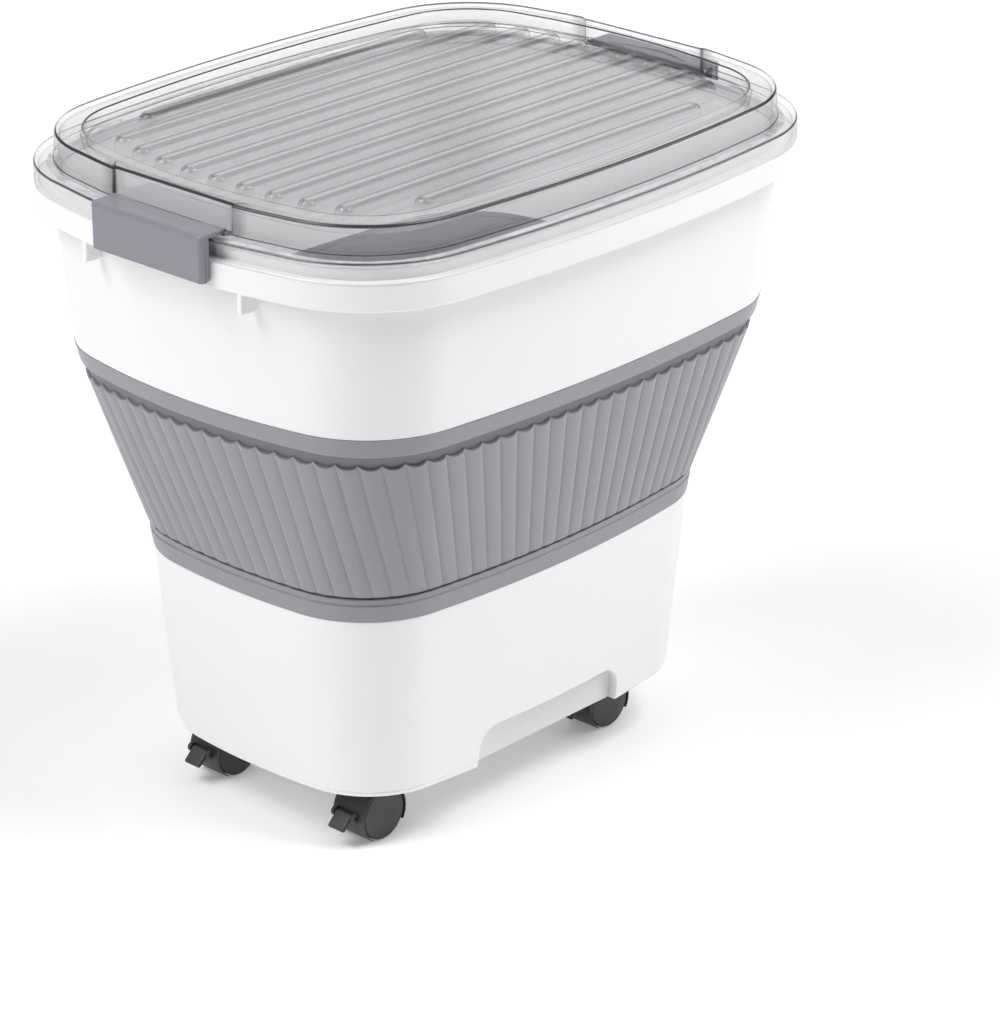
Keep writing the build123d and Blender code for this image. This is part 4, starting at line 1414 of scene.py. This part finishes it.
class FOODBIN_OT_casters(bpy.types.Operator):
    """Builds the wheels, hoods and brake pedals of the four casters"""

    bl_idname = "food_bin.casters"
    bl_label = "Casters"

    def execute(self, context):
        for corner, spot in STEM_SPOTS.items():
            for name, side in (("front", -1), ("back", 1)):
                self.build_wheel(f"wheel_{name}_{corner}", spot, side)
            self.build_hood(corner, spot)
            self.build_pedal(corner, spot)
        return {"FINISHED"}

    def build_wheel(self, node, spot, side):
        """Builds a wheel with a crowned face, on one side of its hood."""
        section = [
            (AXLE_BORE, WHEEL_INNER, 0.0),
            (WHEEL_RADIUS, WHEEL_INNER, 1.2),
            (WHEEL_RADIUS, WHEEL_OUTER - WHEEL_CROWN, 1.2),
            (0.6 * WHEEL_RADIUS, WHEEL_OUTER - 0.1, WHEEL_CROWN_ROUND),
            (0.0, WHEEL_OUTER, 0.0),
            (0.0, AXLE_ROOM, 0.0),
            (AXLE_BORE, AXLE_ROOM, 0.0),
        ]
        mesh = bmesh.new()
        profile = [(out, side * y) for out, y in eased(section)]
        turned_across(mesh, wheel_plane(spot), profile, steps=56)
        finished(mesh, f"{node}_tyre", node, node, "caster_plastic")

    def build_hood(self, corner, spot):
        """Builds a hood with its web, neck, axle boss and pedal ears."""
        mesh = bmesh.new()
        half = [
            (HOOD_INNER, 0.0, 0.0),
            (HOOD_INNER, HOOD_HALF_WIDTH, 0.3),
            (HOOD_OUTER, HOOD_HALF_WIDTH, 1.1),
            (HOOD_OUTER, 0.0, 0.0),
        ]
        section = eased(half)
        section += [Vector((point.x, -point.y)) for point in section[-2:0:-1]]
        rings = []
        for share in spaced(0.0, 1.0, HOOD_STEPS):
            angle = radians(HOOD_START + HOOD_SWEEP * share)
            left = HOOD_SWEEP * (1 - share)
            thinned = HOOD_FOOT + (1 - HOOD_FOOT) * min(1.0, left / HOOD_FEATHER)
            points = []
            for point in section:
                radius = HOOD_INNER + (point.x - HOOD_INNER) * thinned
                points.append(wheel_plane(spot, (radius * cos(angle), radius * sin(angle)), point.y))
            rings.append(points)
        skin(mesh, rings)
        web = [(0.0, 0.0)]
        for turn in spaced(HOOD_START, HOOD_START + HOOD_SWEEP, WEB_STEPS):
            web.append((WEB_RADIUS * cos(radians(turn)), WEB_RADIUS * sin(radians(turn))))
        skin(mesh, [[wheel_plane(spot, point, y) for point in web] for y in (-HOOD_WEB, HOOD_WEB)])
        neck = [
            (NECK_BORE, NECK_LOW, 0.0),
            (NECK_RADIUS, NECK_LOW, 0.0),
            (NECK_RADIUS, HOOD_TOP, 1.0),
            (NECK_BORE, HOOD_TOP, 0.0),
        ]
        turned_upright(mesh, spot, eased(neck))
        turned_across(mesh, wheel_plane(spot), BOSS_PROFILE, steps=32)
        for side in (-1, 1):
            ear = [(out, side * y) for out, y in eased(EAR_PROFILE, steps=3)]
            turned_across(mesh, wheel_plane(spot, PEDAL_PIVOT), ear, steps=28)
        node = f"hood_{corner}"
        finished(mesh, f"{node}_cover", f"caster_{corner}", node, "caster_plastic")

    def build_pedal(self, corner, spot):
        """Builds a brake pedal and the trunnions that it turns on."""
        mesh = bmesh.new()
        along = (PEDAL_TIP - PEDAL_PIVOT).normalized()
        across = Vector((-along.y, along.x))
        reach = (PEDAL_TIP - PEDAL_PIVOT).length
        stations = [(-PEDAL_HALF_WIDTH + drawn, inset) for inset, drawn in PEDAL_EASE]
        stations += [(PEDAL_HALF_WIDTH - drawn, inset) for inset, drawn in PEDAL_EASE[::-1]]
        rounds = ((reach, PEDAL_THICKNESS / 2, -90.0), (0.0, PEDAL_ROOT_RADIUS, 90.0))
        rings = []
        for y, inset in stations:
            points = []
            for centre, radius, start in rounds:
                spread = radius - inset
                for turn in spaced(start, start + 180, PEDAL_ROUND_STEPS):
                    point = PEDAL_PIVOT + along * (centre + spread * cos(radians(turn)))
                    point += across * spread * sin(radians(turn))
                    points.append(wheel_plane(spot, point, y))
            rings.append(points)
        skin(mesh, rings)
        pin = []
        for step in range(TRUNNION_STEPS):
            turn = 2 * pi * step / TRUNNION_STEPS
            pin.append(PEDAL_PIVOT + Vector((cos(turn), sin(turn))) * TRUNNION_RADIUS)
        ends = (-TRUNNION_REACH, TRUNNION_REACH)
        skin(mesh, [[wheel_plane(spot, point, y) for point in pin] for y in ends])
        node = f"brake_pedal_{corner}"
        finished(mesh, f"{node}_plate", f"pedal_{corner}", node, "caster_plastic")


class FOODBIN_OT_fittings(bpy.types.Operator):
    """Gives the seal, pins, stems and axles their finishes"""

    bl_idname = "food_bin.fittings"
    bl_label = "Seal and metal fittings"

    def execute(self, context):
        slots = {"lid_seal": "seal_rubber", "latch_pin_left": "steel", "latch_pin_right": "steel"}
        for corner in STEM_SPOTS:
            for fitting in ("stem", "stem_ring", "axle"):
                slots[f"{fitting}_{corner}"] = "steel"
        for node, slot in slots.items():
            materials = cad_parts[node].data.materials
            materials.clear()
            materials.append(finish_of(slot))
        return {"FINISHED"}


# Stage


class FOODBIN_OT_stage(bpy.types.Operator):
    """Sets up the floor, backdrop, soft lights and camera"""

    bl_idname = "food_bin.stage"
    bl_label = "Stage"

    def execute(self, context):
        scene = context.scene
        self.lay_floor(scene)
        studio = Nodes(bpy.data.worlds.new("Studio"))
        seen = studio.add("ShaderNodeLightPath", out="Is Camera Ray")
        strength = seen * (WORLD_SEEN - WORLD_LIGHT) + WORLD_LIGHT
        backdrop = studio.add("ShaderNodeBackground", sockets={"Color": WHITE, "Strength": strength})
        scene.world = studio.shown(backdrop, "ShaderNodeOutputWorld")
        for name, (spot, size, power) in SOFTBOXES.items():
            self.hang_softbox(scene, name, spot, size, power)
        self.place_camera(scene)
        scene.view_settings.view_transform = "Standard"
        return {"FINISHED"}

    def lay_floor(self, scene):
        """Lays a wide pale floor under the bin."""
        mesh = bmesh.new()
        bmesh.ops.create_grid(mesh, x_segments=2, y_segments=2, size=FLOOR_HALF_SIZE)
        data = bpy.data.meshes.new("floor")
        mesh.to_mesh(data)
        mesh.free()
        data.materials.append(finish_of("floor"))
        floor = bpy.data.objects.new("floor", data)
        scene.collection.objects.link(floor)

    def hang_softbox(self, scene, name, spot, size, power):
        """Hangs a soft light at a spot, turned towards the bin."""
        data = bpy.data.lights.new(name, "AREA")
        data.shape = "RECTANGLE"
        data.size, data.size_y = size
        data.energy = power
        light = bpy.data.objects.new(name, data)
        scene.collection.objects.link(light)
        light.location = spot
        light.rotation_euler = (LIGHT_AIM - Vector(spot)).to_track_quat("-Z", "Y").to_euler()

    def place_camera(self, scene):
        """Places the camera at the photograph's viewing angle."""
        data = bpy.data.cameras.new("Studio camera")
        data.lens = CAMERA_LENS
        data.sensor_width = CAMERA_SENSOR
        data.clip_end = CAMERA_CLIP
        camera = bpy.data.objects.new("Studio camera", data)
        scene.collection.objects.link(camera)
        turn = Matrix((CAMERA_RIGHT, CAMERA_UP, CAMERA_BACK)).transposed().to_4x4()
        camera.matrix_world = Matrix.Translation(CAMERA_EYE * MM) @ turn
        scene.camera = camera


class FOODBIN_PT_panel(bpy.types.Panel):
    """Lists the pieces of the bin and their settings"""

    bl_idname = "FOODBIN_PT_panel"
    bl_label = "Food bin"
    bl_space_type = "VIEW_3D"
    bl_region_type = "UI"
    bl_category = "Food bin"

    def draw(self, context):
        for group in (context.scene.food_bin_sizes, context.scene.food_bin_colours):
            for setting in group.bl_rna.properties.keys():
                if setting not in ("rna_type", "name"):
                    self.layout.prop(group, setting)
        for operator in OPERATORS:
            self.layout.operator(operator.bl_idname)


OPERATORS = (
    FOODBIN_OT_bin,
    FOODBIN_OT_collars,
    FOODBIN_OT_folding_wall,
    FOODBIN_OT_frame,
    FOODBIN_OT_lid,
    FOODBIN_OT_latches,
    FOODBIN_OT_casters,
    FOODBIN_OT_fittings,
    FOODBIN_OT_stage,
)
CLASSES = (FoodBinSizes, FoodBinColours) + OPERATORS + (FOODBIN_PT_panel,)


def register():
    for cls in CLASSES:
        bpy.utils.register_class(cls)
    bpy.types.Scene.food_bin_sizes = bpy.props.PointerProperty(type=FoodBinSizes)
    bpy.types.Scene.food_bin_colours = bpy.props.PointerProperty(type=FoodBinColours)


def unregister():
    del bpy.types.Scene.food_bin_colours
    del bpy.types.Scene.food_bin_sizes
    for cls in reversed(CLASSES):
        bpy.utils.unregister_class(cls)


def main():
    register()
    bpy.ops.food_bin.lower_bin()
    bpy.ops.food_bin.collars()
    bpy.ops.food_bin.folding_wall()
    bpy.ops.food_bin.upper_frame()
    bpy.ops.food_bin.lid()
    bpy.ops.food_bin.latches()
    bpy.ops.food_bin.casters()
    bpy.ops.food_bin.fittings()
    bpy.ops.food_bin.stage()


if __name__ == "__main__":
    main()
